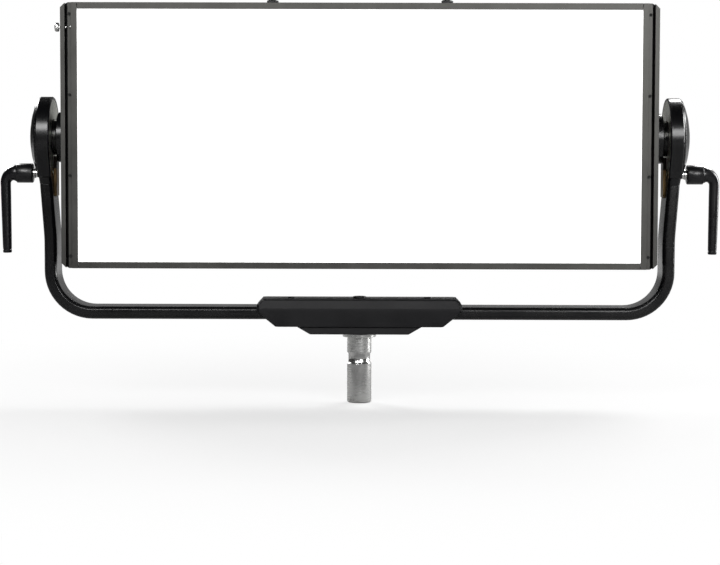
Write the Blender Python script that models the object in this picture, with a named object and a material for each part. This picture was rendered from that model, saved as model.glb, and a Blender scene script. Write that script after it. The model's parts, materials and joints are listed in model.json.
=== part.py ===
"""LED panel light: a soft 2 x 1 foot panel hung in a U-shaped yoke that stands on a 28 mm spigot.

Metres. The origin is the centre of the spigot's lower end face. +Z is up, +X is the viewer's right
and the lit face looks along -Y. Every moving piece has its origin on its joint's axis.
"""

import math

import bmesh
import bpy
from mathutils import Vector

SIDES = {"left": -1.0, "right": 1.0}
GAP = 0.0003  # left between neighbouring pieces
OVERSHOOT = 0.0010  # how far a cutter runs past the face it opens
LOOSE_FIT = 0.0008  # round a piece that turns or slides in a wider opening
SHARP_ANGLE = math.radians(32.0)
BEVEL_ANGLE = math.radians(50.0)

# Flat faces around a turned shape, by its size
LARGE = 36
MEDIUM = 20
SMALL = 14
FINE = 12
TINY = 8

# Panel frame
PANEL_HALF_WIDTH = 0.3341
PANEL_BOTTOM = 0.1578
PANEL_TOP = 0.4548
PANEL_FRONT = -0.0660
RAIL_BACK = -0.0480
FLANGE_THICKNESS = 0.0030
WEB_THICKNESS = 0.0030
CROSS_RAIL_HEIGHT = 0.0072
WINDOW_HALF_WIDTH = 0.3156
REBATE_HALF_WIDTH = 0.3190
SCREW_FLOOR_INNER = 0.3220
GROOVE_INNER = 0.3262
GROOVE_OUTER = 0.3292
GROOVE_DEPTH = 0.0120
FRAME_CHAMFER = 0.0058
RAIL_SCREW_X = 0.3241
RAIL_SCREW_LOWEST = 0.1718
RAIL_SCREW_PITCH = 0.0901
RAIL_SCREWS_PER_SIDE = 4
RAIL_SCREW_HEAD_RADIUS = 0.0017
RAIL_SCREW_SHANK_RADIUS = 0.0011
RAIL_SCREW_HEAD_HEIGHT = 0.0012
RAIL_SCREW_LENGTH = 0.0110

# Light engine, front to back
DIFFUSER_THICKNESS = 0.0030
REFLECTOR_FRONT = -0.0593
REFLECTOR_BACK = 0.0215
REFLECTOR_WALL = 0.0012
REFLECTOR_BACK_HALF_WIDTH = 0.3000
REFLECTOR_BACK_HALF_HEIGHT = 0.1275
BOARD_FRONT = 0.0227
BOARD_HALF_WIDTH = 0.3120
BOARD_HALF_HEIGHT = 0.1350
HOUSING_BACK = 0.0280
HOUSING_FLOOR = 0.0030
HOUSING_WALL = 0.0025
HOUSING_HALF_WIDTH = 0.3338
HOUSING_BOTTOM = 0.1590
HOUSING_TOP = 0.4536
HEATSINK_INNER = 0.1530
HEATSINK_OUTER = 0.3300
HEATSINK_BASE = 0.0047
HEATSINK_FINS = 21
FIN_THICKNESS = 0.0020
FIN_TIP = 0.0550
HEATSINK_BOTTOM = 0.1650
HEATSINK_TOP = 0.4470

# Rear cover and what it carries; a box is its lowest and its highest corner
POWER_SUPPLY_BOX = ((-0.1250, 0.0286, 0.2450), (-0.0050, 0.0600, 0.4250))
DRIVER_BOARD_BOX = ((0.0100, 0.0400, 0.2450), (0.1250, 0.0416, 0.4250))
STANDOFF_INSET = 0.0080
STANDOFF_RADIUS = 0.0030
COVER_HALF_WIDTH = 0.1500
COVER_BOTTOM = 0.1700
COVER_TOP = 0.4450
COVER_BACK = 0.0720
COVER_CHAMFER = 0.0060
COVER_WALL = 0.0020
VENT_COLUMNS = 2
VENT_ROWS = 6
VENT_WIDTH = 0.0700
VENT_HEIGHT = 0.0032
VENT_PITCH = 0.0085
VENT_X = 0.0450
VENT_LOWEST = 0.2560
BEZEL_HALF_WIDTH = 0.1000
BEZEL_BOTTOM = 0.3300
BEZEL_TOP = 0.4200
BEZEL_THICKNESS = 0.0040
BEZEL_CHAMFER = 0.0040
DISPLAY_RECESS = 0.0008
DISPLAY_X = -0.0400
DISPLAY_Z = 0.3750
DISPLAY_HALF_WIDTH = 0.0380
DISPLAY_HALF_HEIGHT = 0.0250
CONTROL_XS = {"a": 0.0280, "b": 0.0680}
KNOB_Z = 0.3880
KNOB_RADIUS = 0.0130
KNOB_TIP = 0.0920
KNOB_SHAFT_RADIUS = 0.0030
KNOB_SHAFT_DEPTH = 0.0060
BUTTON_Z = 0.3480
BUTTON_RADIUS = 0.0050
BUTTON_TIP = 0.0790
SOCKET_Z = 0.2175
SOCKET_XS = {"power_inlet": -0.0950, "dmx_input": -0.0550, "dmx_output": -0.0150, "ethernet_port": 0.0250}
SOCKET_FLANGE_HALF_WIDTH = 0.0145
SOCKET_FLANGE_HALF_HEIGHT = 0.0170
SOCKET_FLANGE_THICKNESS = 0.0030
SOCKET_BARREL_RADIUS = 0.0130
SOCKET_BARREL_FRONT = 0.0520
SOCKET_DEPTH = 0.0150
PIN_HOLE_DEPTH = 0.0075
PIN_HOLE_STEP = math.radians(60.0)
SWITCH_X = 0.0700
SWITCH_HALF_WIDTH = 0.0065
SWITCH_HALF_HEIGHT = 0.0110
SWITCH_FACE = 0.0022  # how far the middle of the rocker's face stands out from its pivot
SWITCH_FACE_RISE = 0.0014
SWITCH_DEPTH = 0.0060
SWITCH_THROW = math.radians(14.0)
HANDLE_X = 0.1300
HANDLE_BOTTOM = 0.2050
HANDLE_TOP = 0.4100
HANDLE_BAR_Y = 0.1040
HANDLE_BEND = 0.0140
HANDLE_RADIUS = 0.0060

# Captive screws in the top of the housing and the accessory latch
TOP_SCREW_X = 0.0985
TOP_SCREW_Y = -0.0300
TOP_SCREW_RADIUS = 0.00675
TOP_SCREW_TOP = 0.4602
TOP_SCREW_SHANK_RADIUS = 0.0026
TOP_SCREW_TIP = 0.4462
LATCH_Y = -0.0600
LATCH_Z = 0.4271
LATCH_PIN_RADIUS = 0.0015
LATCH_PIN_TIP = 0.3275
LATCH_KNOB_RADIUS = 0.0050
LATCH_KNOB_INNER = 0.3361
LATCH_KNOB_OUTER = 0.3406

# Tilt joint, one at each side; distances along X are from the middle of the light
PIVOT_Z = 0.3044
HUB_INNER = 0.3341
HUB_FLANGE_OUTER = 0.3458
HUB_FLANGE_RADIUS = 0.0286
HUB_BOSS_OUTER = 0.3538
HUB_BOSS_RADIUS = 0.0202
SPINDLE_RADIUS = 0.0090
SPINDLE_END = 0.3680
HEAD_INNER = 0.3509
HEAD_OUTER = 0.3662
HEAD_RADIUS = 0.0464
HEAD_NECK_BOTTOM = 0.2513
HEAD_NECK_TOP = 0.2625
HEAD_NECK_HALF_DEPTH = 0.0300
HEAD_FLANK = math.radians(38.0)
HEAD_EDGE = 0.0011
LINER_RADIUS = 0.0434
LINER_SEAT_DEPTH = 0.0026
LINER_THICKNESS = 0.0021
LINER_BORE = HUB_BOSS_RADIUS + 0.0008
BUSH_RADIUS = 0.0120
BUSH_BORE_RADIUS = 0.00935
DOME_INNER = 0.3665
DOME_POCKET_RADIUS = 0.0140
DOME_POCKET_END = 0.3704
COVER_NOTCH_RADIUS = 0.0066  # clears the collar of the lock screw that turns in it

# Tilt lock
LOCK_Z = 0.2633
STUD_RADIUS = 0.0050
STUD_INNER = 0.34935
STUD_OUTER = 0.3915
LEAF_INNER = 0.3468
LEAF_OUTER = 0.3504
LEAF_BOTTOM = 0.2374
LEAF_TOP = 0.2830
LEAF_HALF_DEPTH = 0.0100
LEAF_PAD_FACE = 0.3461
LEAF_PAD_BOTTOM = 0.2764
LEAF_POCKET_FLOOR = 0.3515
LEAF_SEAT_FLOOR = 0.3484
LEVER_HUB_INNER = 0.3750
LEVER_HUB_OUTER = 0.3940
LEVER_HUB_RADIUS = 0.0111
LEVER_NECK_RADIUS = 0.0094
LEVER_ELBOW_START = 0.3955
LEVER_BEND = 0.0115
LEVER_ARM_TOP_RADIUS = 0.0060
LEVER_ARM_END_RADIUS = 0.0051
LEVER_END = 0.1717
LEVER_LEAN = 0.0014  # the arm's end stands this much nearer the yoke

# Yoke
ARM_X = 0.3528
YOKE_BOTTOM_Z = 0.1044
YOKE_BEND = 0.0475
YOKE_LEAN_START = 0.1820
YOKE_LEAN_BEND = 0.2000
YOKE_LEAN = math.radians(4.3)
YOKE_TOP = 0.2510
TUBE_HALF_THICKNESS = 0.0072
TUBE_HALF_DEPTH = 0.0250
TUBE_CORNER = 0.0052
TUBE_WALL = 0.0025
TENON_BOTTOM = 0.2340

# Centre casting, plate and spigot
CASTING_BOTTOM = 0.0891
CASTING_TOP = 0.1203
CASTING_SHOULDER_LOW = 0.1064
CASTING_CREASE = 0.1106
CASTING_SHOULDER_HIGH = 0.1144
CASTING_BOTTOM_HALF_WIDTH = 0.0960
CASTING_HALF_WIDTH = 0.1172
CASTING_TOP_HALF_WIDTH = 0.1118
CASTING_HALF_DEPTH = 0.0300
PLATE_BOTTOM = 0.0803
PLATE_TOP = 0.0888
PLATE_BOTTOM_HALF_WIDTH = 0.0563
PLATE_TOP_HALF_WIDTH = 0.0711
SPIGOT_RADIUS = 0.0140
SPIGOT_SHOULDER = 0.0760
SPIGOT_TOP = 0.0800
SPIGOT_COLLAR_RADIUS = 0.0195
BOLT_RADIUS = 0.0050
BOLT_HEAD_RADIUS = 0.0075
BOLT_TIP = 0.0520
CLAMP_SCREW_X = 0.0789
CLAMP_SCREW_RADIUS = 0.0025
CLAMP_SCREW_HEAD_RADIUS = 0.0045
CLAMP_SCREW_TIP = 0.0940

MID_Z = (PANEL_BOTTOM + PANEL_TOP) / 2.0

# name: (colour, roughness, metallic)
MATERIALS = {
    "powder_black": ((0.018, 0.018, 0.019), 0.62, 0.0),
    "satin_black": ((0.014, 0.014, 0.015), 0.38, 0.0),
    "anodised_grey": ((0.120, 0.118, 0.112), 0.42, 0.8),
    "plastic_black": ((0.020, 0.020, 0.021), 0.50, 0.0),
    "rubber_black": ((0.015, 0.015, 0.015), 0.80, 0.0),
    "steel": ((0.560, 0.560, 0.550), 0.28, 1.0),
    "steel_black": ((0.040, 0.040, 0.042), 0.40, 0.7),
    "bronze": ((0.330, 0.220, 0.110), 0.38, 0.9),
    "liner_grey": ((0.420, 0.430, 0.390), 0.55, 0.0),
    "diffuser_white": ((0.900, 0.900, 0.900), 0.60, 0.0),
    "reflector_white": ((0.850, 0.850, 0.840), 0.70, 0.0),
    "board_green": ((0.030, 0.140, 0.070), 0.55, 0.0),
    "board_white": ((0.800, 0.800, 0.780), 0.50, 0.0),
    "zinc_plate": ((0.520, 0.530, 0.540), 0.45, 0.9),
    "display_glass": ((0.010, 0.012, 0.016), 0.12, 0.0),
    "aluminium_black": ((0.030, 0.030, 0.032), 0.48, 0.6),
}


# ---------------------------------------------------------------- helpers
def clear_scene():
    for item in list(bpy.data.objects):
        bpy.data.objects.remove(item, do_unlink=True)


def material(name):
    """The named material, made the first time it is asked for."""
    made = bpy.data.materials.get(name)
    if made:
        return made
    colour, roughness, metallic = MATERIALS[name]
    made = bpy.data.materials.new(name)
    made.use_nodes = True
    shader = made.node_tree.nodes["Principled BSDF"]
    shader.inputs["Base Color"].default_value = (*colour, 1.0)
    shader.inputs["Roughness"].default_value = roughness
    shader.inputs["Metallic"].default_value = metallic
    return made


def loft(name, loops, closed=False):
    """A solid through loops of equal length; closed joins the last loop to the first instead of capping."""
    shape = bmesh.new()
    rings = [[shape.verts.new(point) for point in loop] for loop in loops]
    pairs = list(zip(rings, rings[1:]))
    if closed:
        pairs.append((rings[-1], rings[0]))
    else:
        shape.faces.new(rings[0])
        shape.faces.new(rings[-1])
    for low, high in pairs:
        for i in range(len(low)):
            j = (i + 1) % len(low)
            shape.faces.new((low[i], low[j], high[j], high[i]))
    return finished_object(name, shape)


def finished_object(name, shape):
    bmesh.ops.recalc_face_normals(shape, faces=shape.faces)
    mesh = bpy.data.meshes.new(name)
    shape.to_mesh(mesh)
    shape.free()
    mesh.shade_smooth()
    mesh.set_sharp_from_angle(angle=SHARP_ANGLE)
    made = bpy.data.objects.new(name, mesh)
    bpy.context.scene.collection.objects.link(made)
    return made


def point_on(axis, along, first, second):
    """A point from its distance along an axis and its other two coordinates in X, Y, Z order."""
    if axis == "X":
        return (along, first, second)
    if axis == "Y":
        return (first, along, second)
    return (first, second, along)


def prism(name, outline, axis, start, stop):
    return loft(name, [[point_on(axis, along, *pair) for pair in outline] for along in (start, stop)])


def box(name, low, high):
    outline = [(low[0], low[1]), (high[0], low[1]), (high[0], high[1]), (low[0], high[1])]
    return prism(name, outline, "Z", low[2], high[2])


def circle(radius, segments):
    turns = [2.0 * math.pi * (i + 0.5) / segments for i in range(segments)]
    return [(radius * math.cos(turn), radius * math.sin(turn)) for turn in turns]


def lathe(name, axis, centre, profile, segments, closed=False):
    """Turn a profile of (radius, distance along the axis) about an axis through centre."""
    loops = []
    for radius, along in profile:
        ring = [(centre[0] + first, centre[1] + second) for first, second in circle(radius, segments)]
        loops.append([point_on(axis, along, *pair) for pair in ring])
    return loft(name, loops, closed)


def rounded_rectangle(half_first, half_second, radius, steps):
    """Outline of a rectangle whose corners are arcs of this many steps."""
    outline = []
    for quarter, (sign_first, sign_second) in enumerate(((1, 1), (-1, 1), (-1, -1), (1, -1))):
        for step in range(steps + 1):
            turn = math.radians(90.0) * (quarter + step / steps)
            first = sign_first * (half_first - radius) + radius * math.cos(turn)
            second = sign_second * (half_second - radius) + radius * math.sin(turn)
            outline.append((first, second))
    return outline


def chamfered_rectangle(half_first, half_second, chamfer, centre=(0.0, 0.0)):
    outline = rounded_rectangle(half_first, half_second, chamfer, 1)
    return [(centre[0] + first, centre[1] + second) for first, second in outline]


def combine(target, tool, operation):
    """Cut a hidden tool from a piece, or join it on."""
    tool.hide_render = True
    tool.display_type = "WIRE"
    step = target.modifiers.new(tool.name, "BOOLEAN")
    step.operation = operation
    step.object = tool
    step.solver = "EXACT"
    return target


def cut(target, tool):
    return combine(target, tool, "DIFFERENCE")


def join(target, tool):
    return combine(target, tool, "UNION")


def bore(target, axis, centre, radius, start, stop, segments=SMALL):
    profile = ((radius, start), (radius, stop))
    return cut(target, lathe(f"tool_bore_{target.name}", axis, centre, profile, segments))


def round_edges(target, width, segments=2):
    step = target.modifiers.new("edges", "BEVEL")
    step.width = width
    step.segments = segments
    step.limit_method = "ANGLE"
    step.angle_limit = BEVEL_ANGLE
    return target


def give(target, material_name, origin=(0.0, 0.0, 0.0)):
    """Set a finished piece's material and move its origin, leaving its shape where it is."""
    target.data.materials.append(material(material_name))
    shift = Vector(origin)
    for vertex in target.data.vertices:
        vertex.co -= shift
    target.location = shift
    return target


# ------------------------------------------------------- spigot and casting
def make_spigot():
    chamfer = 0.0015
    groove_low, groove_high, groove_radius = 0.0460, 0.0580, 0.0125
    profile = (
        (SPIGOT_RADIUS - chamfer, 0.0),
        (SPIGOT_RADIUS, chamfer),
        (SPIGOT_RADIUS, groove_low),
        (groove_radius, groove_low + chamfer),
        (groove_radius, groove_high - chamfer),
        (SPIGOT_RADIUS, groove_high),
        (SPIGOT_RADIUS, SPIGOT_SHOULDER),
        (SPIGOT_COLLAR_RADIUS, SPIGOT_SHOULDER),
        (SPIGOT_COLLAR_RADIUS, SPIGOT_TOP),
        (BOLT_RADIUS + GAP, SPIGOT_TOP),
        (BOLT_RADIUS + GAP, BOLT_TIP - GAP),
    )
    give(lathe("spigot", "Z", (0.0, 0.0), profile, MEDIUM), "steel")


def bolt_bore(target):
    return bore(target, "Z", (0.0, 0.0), BOLT_RADIUS + GAP, BOLT_TIP, CASTING_TOP + OVERSHOOT)


def clamp_bores(target):
    for side in SIDES.values():
        centre = (side * CLAMP_SCREW_X, 0.0)
        radius = CLAMP_SCREW_RADIUS + GAP
        bore(target, "Z", centre, radius, CLAMP_SCREW_TIP - GAP, CASTING_TOP + OVERSHOOT, TINY)
    return target


def make_spigot_bolt():
    seat = CASTING_TOP + GAP
    profile = (
        (BOLT_RADIUS - 0.0010, BOLT_TIP),
        (BOLT_RADIUS, BOLT_TIP + 0.0010),
        (BOLT_RADIUS, seat),
        (BOLT_HEAD_RADIUS, seat),
        (BOLT_HEAD_RADIUS, seat + 0.0007),
        (0.80 * BOLT_HEAD_RADIUS, seat + 0.0016),
        (0.45 * BOLT_HEAD_RADIUS, seat + 0.0021),
    )
    give(lathe("spigot_bolt", "Z", (0.0, 0.0), profile, SMALL), "steel_black")


def make_clamp_screw(name, side):
    seat = CASTING_TOP + GAP
    profile = (
        (CLAMP_SCREW_RADIUS, CLAMP_SCREW_TIP),
        (CLAMP_SCREW_RADIUS, seat),
        (CLAMP_SCREW_HEAD_RADIUS, seat),
        (CLAMP_SCREW_HEAD_RADIUS, seat + 0.0005),
        (0.60 * CLAMP_SCREW_HEAD_RADIUS, seat + 0.0012),
    )
    give(lathe(name, "Z", (side * CLAMP_SCREW_X, 0.0), profile, FINE), "steel_black")


def make_spigot_plate():
    outline = (
        (-PLATE_BOTTOM_HALF_WIDTH, PLATE_BOTTOM),
        (PLATE_BOTTOM_HALF_WIDTH, PLATE_BOTTOM),
        (PLATE_TOP_HALF_WIDTH, PLATE_TOP),
        (-PLATE_TOP_HALF_WIDTH, PLATE_TOP),
    )
    plate = prism("spigot_plate", outline, "Y", -TUBE_HALF_DEPTH, TUBE_HALF_DEPTH)
    give(bolt_bore(plate), "powder_black")


def make_base_casting():
    """A block that tapers below, with a bevelled upper edge all round, and a slot the yoke runs through."""
    crest_inset = 0.0034
    corner = 0.0030
    levels = (
        (CASTING_BOTTOM, CASTING_BOTTOM_HALF_WIDTH, CASTING_HALF_DEPTH - 0.0025),
        (CASTING_SHOULDER_LOW, CASTING_HALF_WIDTH, CASTING_HALF_DEPTH),
        (CASTING_CREASE, CASTING_HALF_WIDTH, CASTING_HALF_DEPTH),
        (CASTING_SHOULDER_HIGH, CASTING_HALF_WIDTH, CASTING_HALF_DEPTH - 0.0016),
        (CASTING_TOP - 0.0012, CASTING_TOP_HALF_WIDTH + 0.0011, CASTING_HALF_DEPTH - crest_inset),
        (CASTING_TOP, CASTING_TOP_HALF_WIDTH, CASTING_HALF_DEPTH - crest_inset - 0.0012),
    )
    loops = []
    for height, half_width, half_depth in levels:
        outline = chamfered_rectangle(half_width, half_depth, corner)
        loops.append([(x, y, height) for x, y in outline])
    casting = loft("base_casting", loops)
    section = rounded_rectangle(TUBE_HALF_DEPTH + GAP, TUBE_HALF_THICKNESS + GAP, TUBE_CORNER, 4)
    slot = [(y, YOKE_BOTTOM_Z + z) for y, z in section]
    reach = CASTING_HALF_WIDTH + OVERSHOOT
    cut(casting, prism("tool_yoke_slot", slot, "X", -reach, reach))
    give(clamp_bores(bolt_bore(casting)), "powder_black")


# ------------------------------------------------------------------- yoke
def arm_lean(height):
    """How far the leaning part of a yoke arm has moved outwards at this height."""
    bend_end = YOKE_LEAN_START + YOKE_LEAN_BEND * math.sin(YOKE_LEAN)
    bend_shift = YOKE_LEAN_BEND * (1.0 - math.cos(YOKE_LEAN))
    return bend_shift + (height - bend_end) * math.tan(YOKE_LEAN)


def yoke_stations():
    """Centreline points (x, z) of the right half of the yoke, each with its tangent's angle from +X."""
    stations = []
    corner_x, corner_z = ARM_X - YOKE_BEND, YOKE_BOTTOM_Z + YOKE_BEND
    corner_steps, lean_steps = 14, 3
    for step in range(corner_steps + 1):
        turn = math.radians(90.0) * step / corner_steps
        stations.append((corner_x + YOKE_BEND * math.sin(turn), corner_z - YOKE_BEND * math.cos(turn), turn))
    for step in range(lean_steps + 1):
        lean = YOKE_LEAN * step / lean_steps
        x = ARM_X + YOKE_LEAN_BEND * (1.0 - math.cos(lean))
        z = YOKE_LEAN_START + YOKE_LEAN_BEND * math.sin(lean)
        stations.append((x, z, math.radians(90.0) - lean))
    stations.append((ARM_X + arm_lean(YOKE_TOP), YOKE_TOP, math.radians(90.0)))
    return stations


def tube_section(inset, steps):
    """(across the thickness, along Y) outline of the yoke's flat-oval tube, inset for its inside."""
    return rounded_rectangle(TUBE_HALF_THICKNESS - inset, TUBE_HALF_DEPTH - inset, TUBE_CORNER - inset, steps)


def bent_bar(name, section, end_overshoot):
    """The section carried along the yoke's centreline, its two ends run on upwards by the overshoot."""
    right = yoke_stations()
    end_x, end_z, end_turn = right[-1]
    right[-1] = (end_x + end_overshoot * math.tan(YOKE_LEAN), end_z + end_overshoot, end_turn)
    left = [(-x, z, -turn) for x, z, turn in reversed(right)]
    loops = []
    for x, z, turn in left + right:
        out_x, out_z = math.sin(turn), -math.cos(turn)
        loops.append([(x + across * out_x, y, z + across * out_z) for across, y in section])
    return loft(name, loops)


def leaf_pocket(target, side):
    """Let the brake leaf into the arm's inner face."""
    near, far = sorted((side * LEAF_PAD_FACE, side * LEAF_POCKET_FLOOR))
    low = (near, -LEAF_HALF_DEPTH - LOOSE_FIT, LEAF_BOTTOM - LOOSE_FIT)
    high = (far, LEAF_HALF_DEPTH + LOOSE_FIT, LEAF_TOP + LOOSE_FIT)
    return cut(target, box(f"tool_leaf_pocket_{target.name}", low, high))


def make_yoke_tube():
    tube = bent_bar("yoke_tube", tube_section(0.0, 4), 0.0)
    cut(tube, bent_bar("tool_tube_inside", tube_section(TUBE_WALL, 1), OVERSHOOT))
    for side in SIDES.values():
        leaf_pocket(tube, side)
    give(clamp_bores(bolt_bore(tube)), "satin_black")


def head_outline():
    """Round head with straight flanks running down to its neck, as (y, z) about the light's middle."""
    outline = []
    for step in range(LARGE + 1):
        turn = -HEAD_FLANK + (math.pi + 2.0 * HEAD_FLANK) * step / LARGE
        outline.append((HEAD_RADIUS * math.cos(turn), PIVOT_Z + HEAD_RADIUS * math.sin(turn)))
    neck_overlap = 0.0035
    foot = HEAD_NECK_TOP - neck_overlap
    return outline + [(-HEAD_NECK_HALF_DEPTH, foot), (HEAD_NECK_HALF_DEPTH, foot)]


def arm_loop(side, height, inset, steps):
    centre = side * (ARM_X + arm_lean(height))
    return [(centre + side * across, y, height) for across, y in tube_section(inset, steps)]


def make_yoke_head(name, side):
    head = prism(name, head_outline(), "X", side * HEAD_INNER, side * HEAD_OUTER)
    round_edges(head, HEAD_EDGE, 1)
    middle = (HEAD_INNER + HEAD_OUTER) / 2.0
    face_inset, side_inset = 0.0004, 0.0010
    half_thickness = (HEAD_OUTER - HEAD_INNER) / 2.0 - face_inset
    half_depth, corner = HEAD_NECK_HALF_DEPTH - side_inset, TUBE_CORNER - side_inset
    neck_section = rounded_rectangle(half_thickness, half_depth, corner, 3)
    neck_top = [(side * (middle + across), y, HEAD_NECK_TOP) for across, y in neck_section]
    join(head, loft(f"tool_neck_{name}", [arm_loop(side, HEAD_NECK_BOTTOM, 0.0, 3), neck_top]))
    tenon_inset = TUBE_WALL + GAP
    tenon_top = HEAD_NECK_BOTTOM + OVERSHOOT
    tenon = [arm_loop(side, height, tenon_inset, 1) for height in (TENON_BOTTOM, tenon_top)]
    join(head, loft(f"tool_tenon_{name}", tenon))
    pivot = (0.0, PIVOT_Z)
    near, far = side * (HEAD_INNER - OVERSHOOT), side * (HEAD_OUTER + OVERSHOOT)
    bore(head, "X", pivot, LINER_RADIUS + GAP, near, side * (HEAD_INNER + LINER_SEAT_DEPTH), LARGE)
    bore(head, "X", pivot, LINER_BORE, near, side * (HUB_BOSS_OUTER + GAP), LARGE)
    bore(head, "X", pivot, BUSH_RADIUS + GAP, near, far, MEDIUM)
    bore(head, "X", (0.0, LOCK_Z), STUD_RADIUS + GAP, near, far)
    give(leaf_pocket(head, side), "satin_black")


def make_head_liner(name, side):
    back = HEAD_INNER + LINER_SEAT_DEPTH - GAP
    inner, outer = side * (back - LINER_THICKNESS), side * back
    profile = ((LINER_RADIUS, inner), (LINER_RADIUS, outer), (LINER_BORE, outer), (LINER_BORE, inner))
    liner = lathe(name, "X", (0.0, PIVOT_Z), profile, LARGE, closed=True)
    bore(liner, "X", (0.0, LOCK_Z), STUD_RADIUS + LOOSE_FIT, inner - side * OVERSHOOT, outer + side * OVERSHOOT)
    give(liner, "liner_grey")


def make_pivot_bush(name, side):
    inner, outer = side * (HUB_BOSS_OUTER + GAP), side * HEAD_OUTER
    profile = ((BUSH_RADIUS, inner), (BUSH_RADIUS, outer), (BUSH_BORE_RADIUS, outer), (BUSH_BORE_RADIUS, inner))
    give(lathe(name, "X", (0.0, PIVOT_Z), profile, MEDIUM, closed=True), "bronze")


def make_head_cover(name, side):
    """Domed cap with a pocket behind it for the spindle's end and a notch for the lock screw."""
    dome = (
        (0.0455, DOME_INNER),
        (0.0442, 0.3681),
        (0.0380, 0.3706),
        (0.0285, 0.3736),
        (0.0180, 0.3757),
        (0.0070, 0.3768),
    )
    profile = ((DOME_POCKET_RADIUS, DOME_POCKET_END), (DOME_POCKET_RADIUS, DOME_INNER)) + dome
    cover = lathe(name, "X", (0.0, PIVOT_Z), [(radius, side * along) for radius, along in profile], LARGE)
    near, far = side * (DOME_INNER - OVERSHOOT), side * (dome[-1][1] + OVERSHOOT)
    bore(cover, "X", (0.0, LOCK_Z), COVER_NOTCH_RADIUS, near, far, MEDIUM)
    give(cover, "satin_black")


# -------------------------------------------------------------- tilt lock
def make_lock_screw(name, side):
    collar_radius, collar_inner, collar_outer = 0.0058, 0.3722, 0.3747
    profile = (
        (STUD_RADIUS - 0.0010, STUD_INNER),
        (STUD_RADIUS, STUD_INNER + 0.0010),
        (STUD_RADIUS, collar_inner),
        (collar_radius, collar_inner + 0.0004),
        (collar_radius, collar_outer),
        (STUD_RADIUS, collar_outer),
        (STUD_RADIUS, STUD_OUTER),
    )
    screw = lathe(name, "X", (0.0, LOCK_Z), [(radius, side * along) for radius, along in profile], SMALL)
    give(screw, "steel", (side * LEVER_HUB_INNER, 0.0, LOCK_Z))


def lever_stations():
    """(distance along X, height, tangent's angle below the axis, radius) from the hub to the arm's end."""
    chamfer = 0.0006
    hub = (
        (LEVER_HUB_INNER, LEVER_HUB_RADIUS - chamfer),
        (LEVER_HUB_INNER + chamfer, LEVER_HUB_RADIUS),
        (LEVER_HUB_OUTER - chamfer, LEVER_HUB_RADIUS),
        (LEVER_HUB_OUTER, LEVER_HUB_RADIUS - chamfer),
        (LEVER_HUB_OUTER + 0.0001, LEVER_NECK_RADIUS),
    )
    stations = [(along, LOCK_Z, 0.0, radius) for along, radius in hub]
    bend_steps = 8
    for step in range(bend_steps + 1):
        part = step / bend_steps
        turn = math.radians(90.0) * part
        along = LEVER_ELBOW_START + LEVER_BEND * math.sin(turn)
        height = LOCK_Z - LEVER_BEND * (1.0 - math.cos(turn))
        radius = LEVER_NECK_RADIUS + (LEVER_ARM_TOP_RADIUS - LEVER_NECK_RADIUS) * part
        stations.append((along, height, turn, radius))
    elbow_end, groove_top, groove_bottom, groove_depth = LOCK_Z - LEVER_BEND, 0.1762, 0.1750, 0.0004
    end_radius = LEVER_ARM_END_RADIUS
    arm = (
        (groove_top, end_radius),
        (groove_top - 0.0001, end_radius - groove_depth),
        (groove_bottom, end_radius - groove_depth),
        (groove_bottom - 0.0001, end_radius),
        (LEVER_END + chamfer, end_radius),
        (LEVER_END, end_radius - chamfer),
    )
    for height, radius in arm:
        lean = LEVER_LEAN * (elbow_end - height) / (elbow_end - LEVER_END)
        stations.append((LEVER_ELBOW_START + LEVER_BEND - lean, height, math.radians(90.0), radius))
    return stations


def make_lever(name, side):
    """L-shaped clamping lever: a round hub, an elbow and a tapering arm that hangs down when locked."""
    loops = []
    for along, height, turn, radius in lever_stations():
        ring = circle(radius, SMALL)
        across_x, across_z = math.sin(turn), math.cos(turn)
        loops.append([(side * (along + out * across_x), y, height + out * across_z) for y, out in ring])
    lever = loft(name, loops)
    near, far = side * (LEVER_HUB_INNER - OVERSHOOT), side * (STUD_OUTER + GAP)
    bore(lever, "X", (0.0, LOCK_Z), STUD_RADIUS + GAP, near, far)
    give(lever, "plastic_black", (side * LEVER_HUB_INNER, 0.0, LOCK_Z))


def make_brake_leaf(name, side):
    """Bar let into the arm, with a pad at its top that the lock screw presses on the hub's flange."""
    outline = (
        (LEAF_INNER, LEAF_BOTTOM),
        (LEAF_OUTER, LEAF_BOTTOM),
        (LEAF_OUTER, LEAF_TOP),
        (LEAF_PAD_FACE, LEAF_TOP),
        (LEAF_PAD_FACE, LEAF_PAD_BOTTOM),
        (LEAF_INNER, LEAF_PAD_BOTTOM),
    )
    outline = [(side * x, z) for x, z in outline]
    leaf = prism(name, outline, "Y", -LEAF_HALF_DEPTH, LEAF_HALF_DEPTH)
    near, far = side * LEAF_SEAT_FLOOR, side * (LEAF_OUTER + OVERSHOOT)
    bore(leaf, "X", (0.0, LOCK_Z), STUD_RADIUS + GAP, near, far)
    give(leaf, "bronze", (side * LEAF_OUTER, 0.0, LOCK_Z))


def make_pivot_hub(name, side):
    profile = (
        (HUB_FLANGE_RADIUS, HUB_INNER),
        (HUB_FLANGE_RADIUS, HUB_FLANGE_OUTER),
        (HUB_BOSS_RADIUS, HUB_FLANGE_OUTER),
        (HUB_BOSS_RADIUS, HUB_BOSS_OUTER),
        (SPINDLE_RADIUS, HUB_BOSS_OUTER),
        (SPINDLE_RADIUS, SPINDLE_END - 0.0010),
        (SPINDLE_RADIUS - 0.0010, SPINDLE_END),
    )
    hub = lathe(name, "X", (0.0, PIVOT_Z), [(radius, side * along) for radius, along in profile], MEDIUM)
    give(hub, "satin_black")


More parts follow.
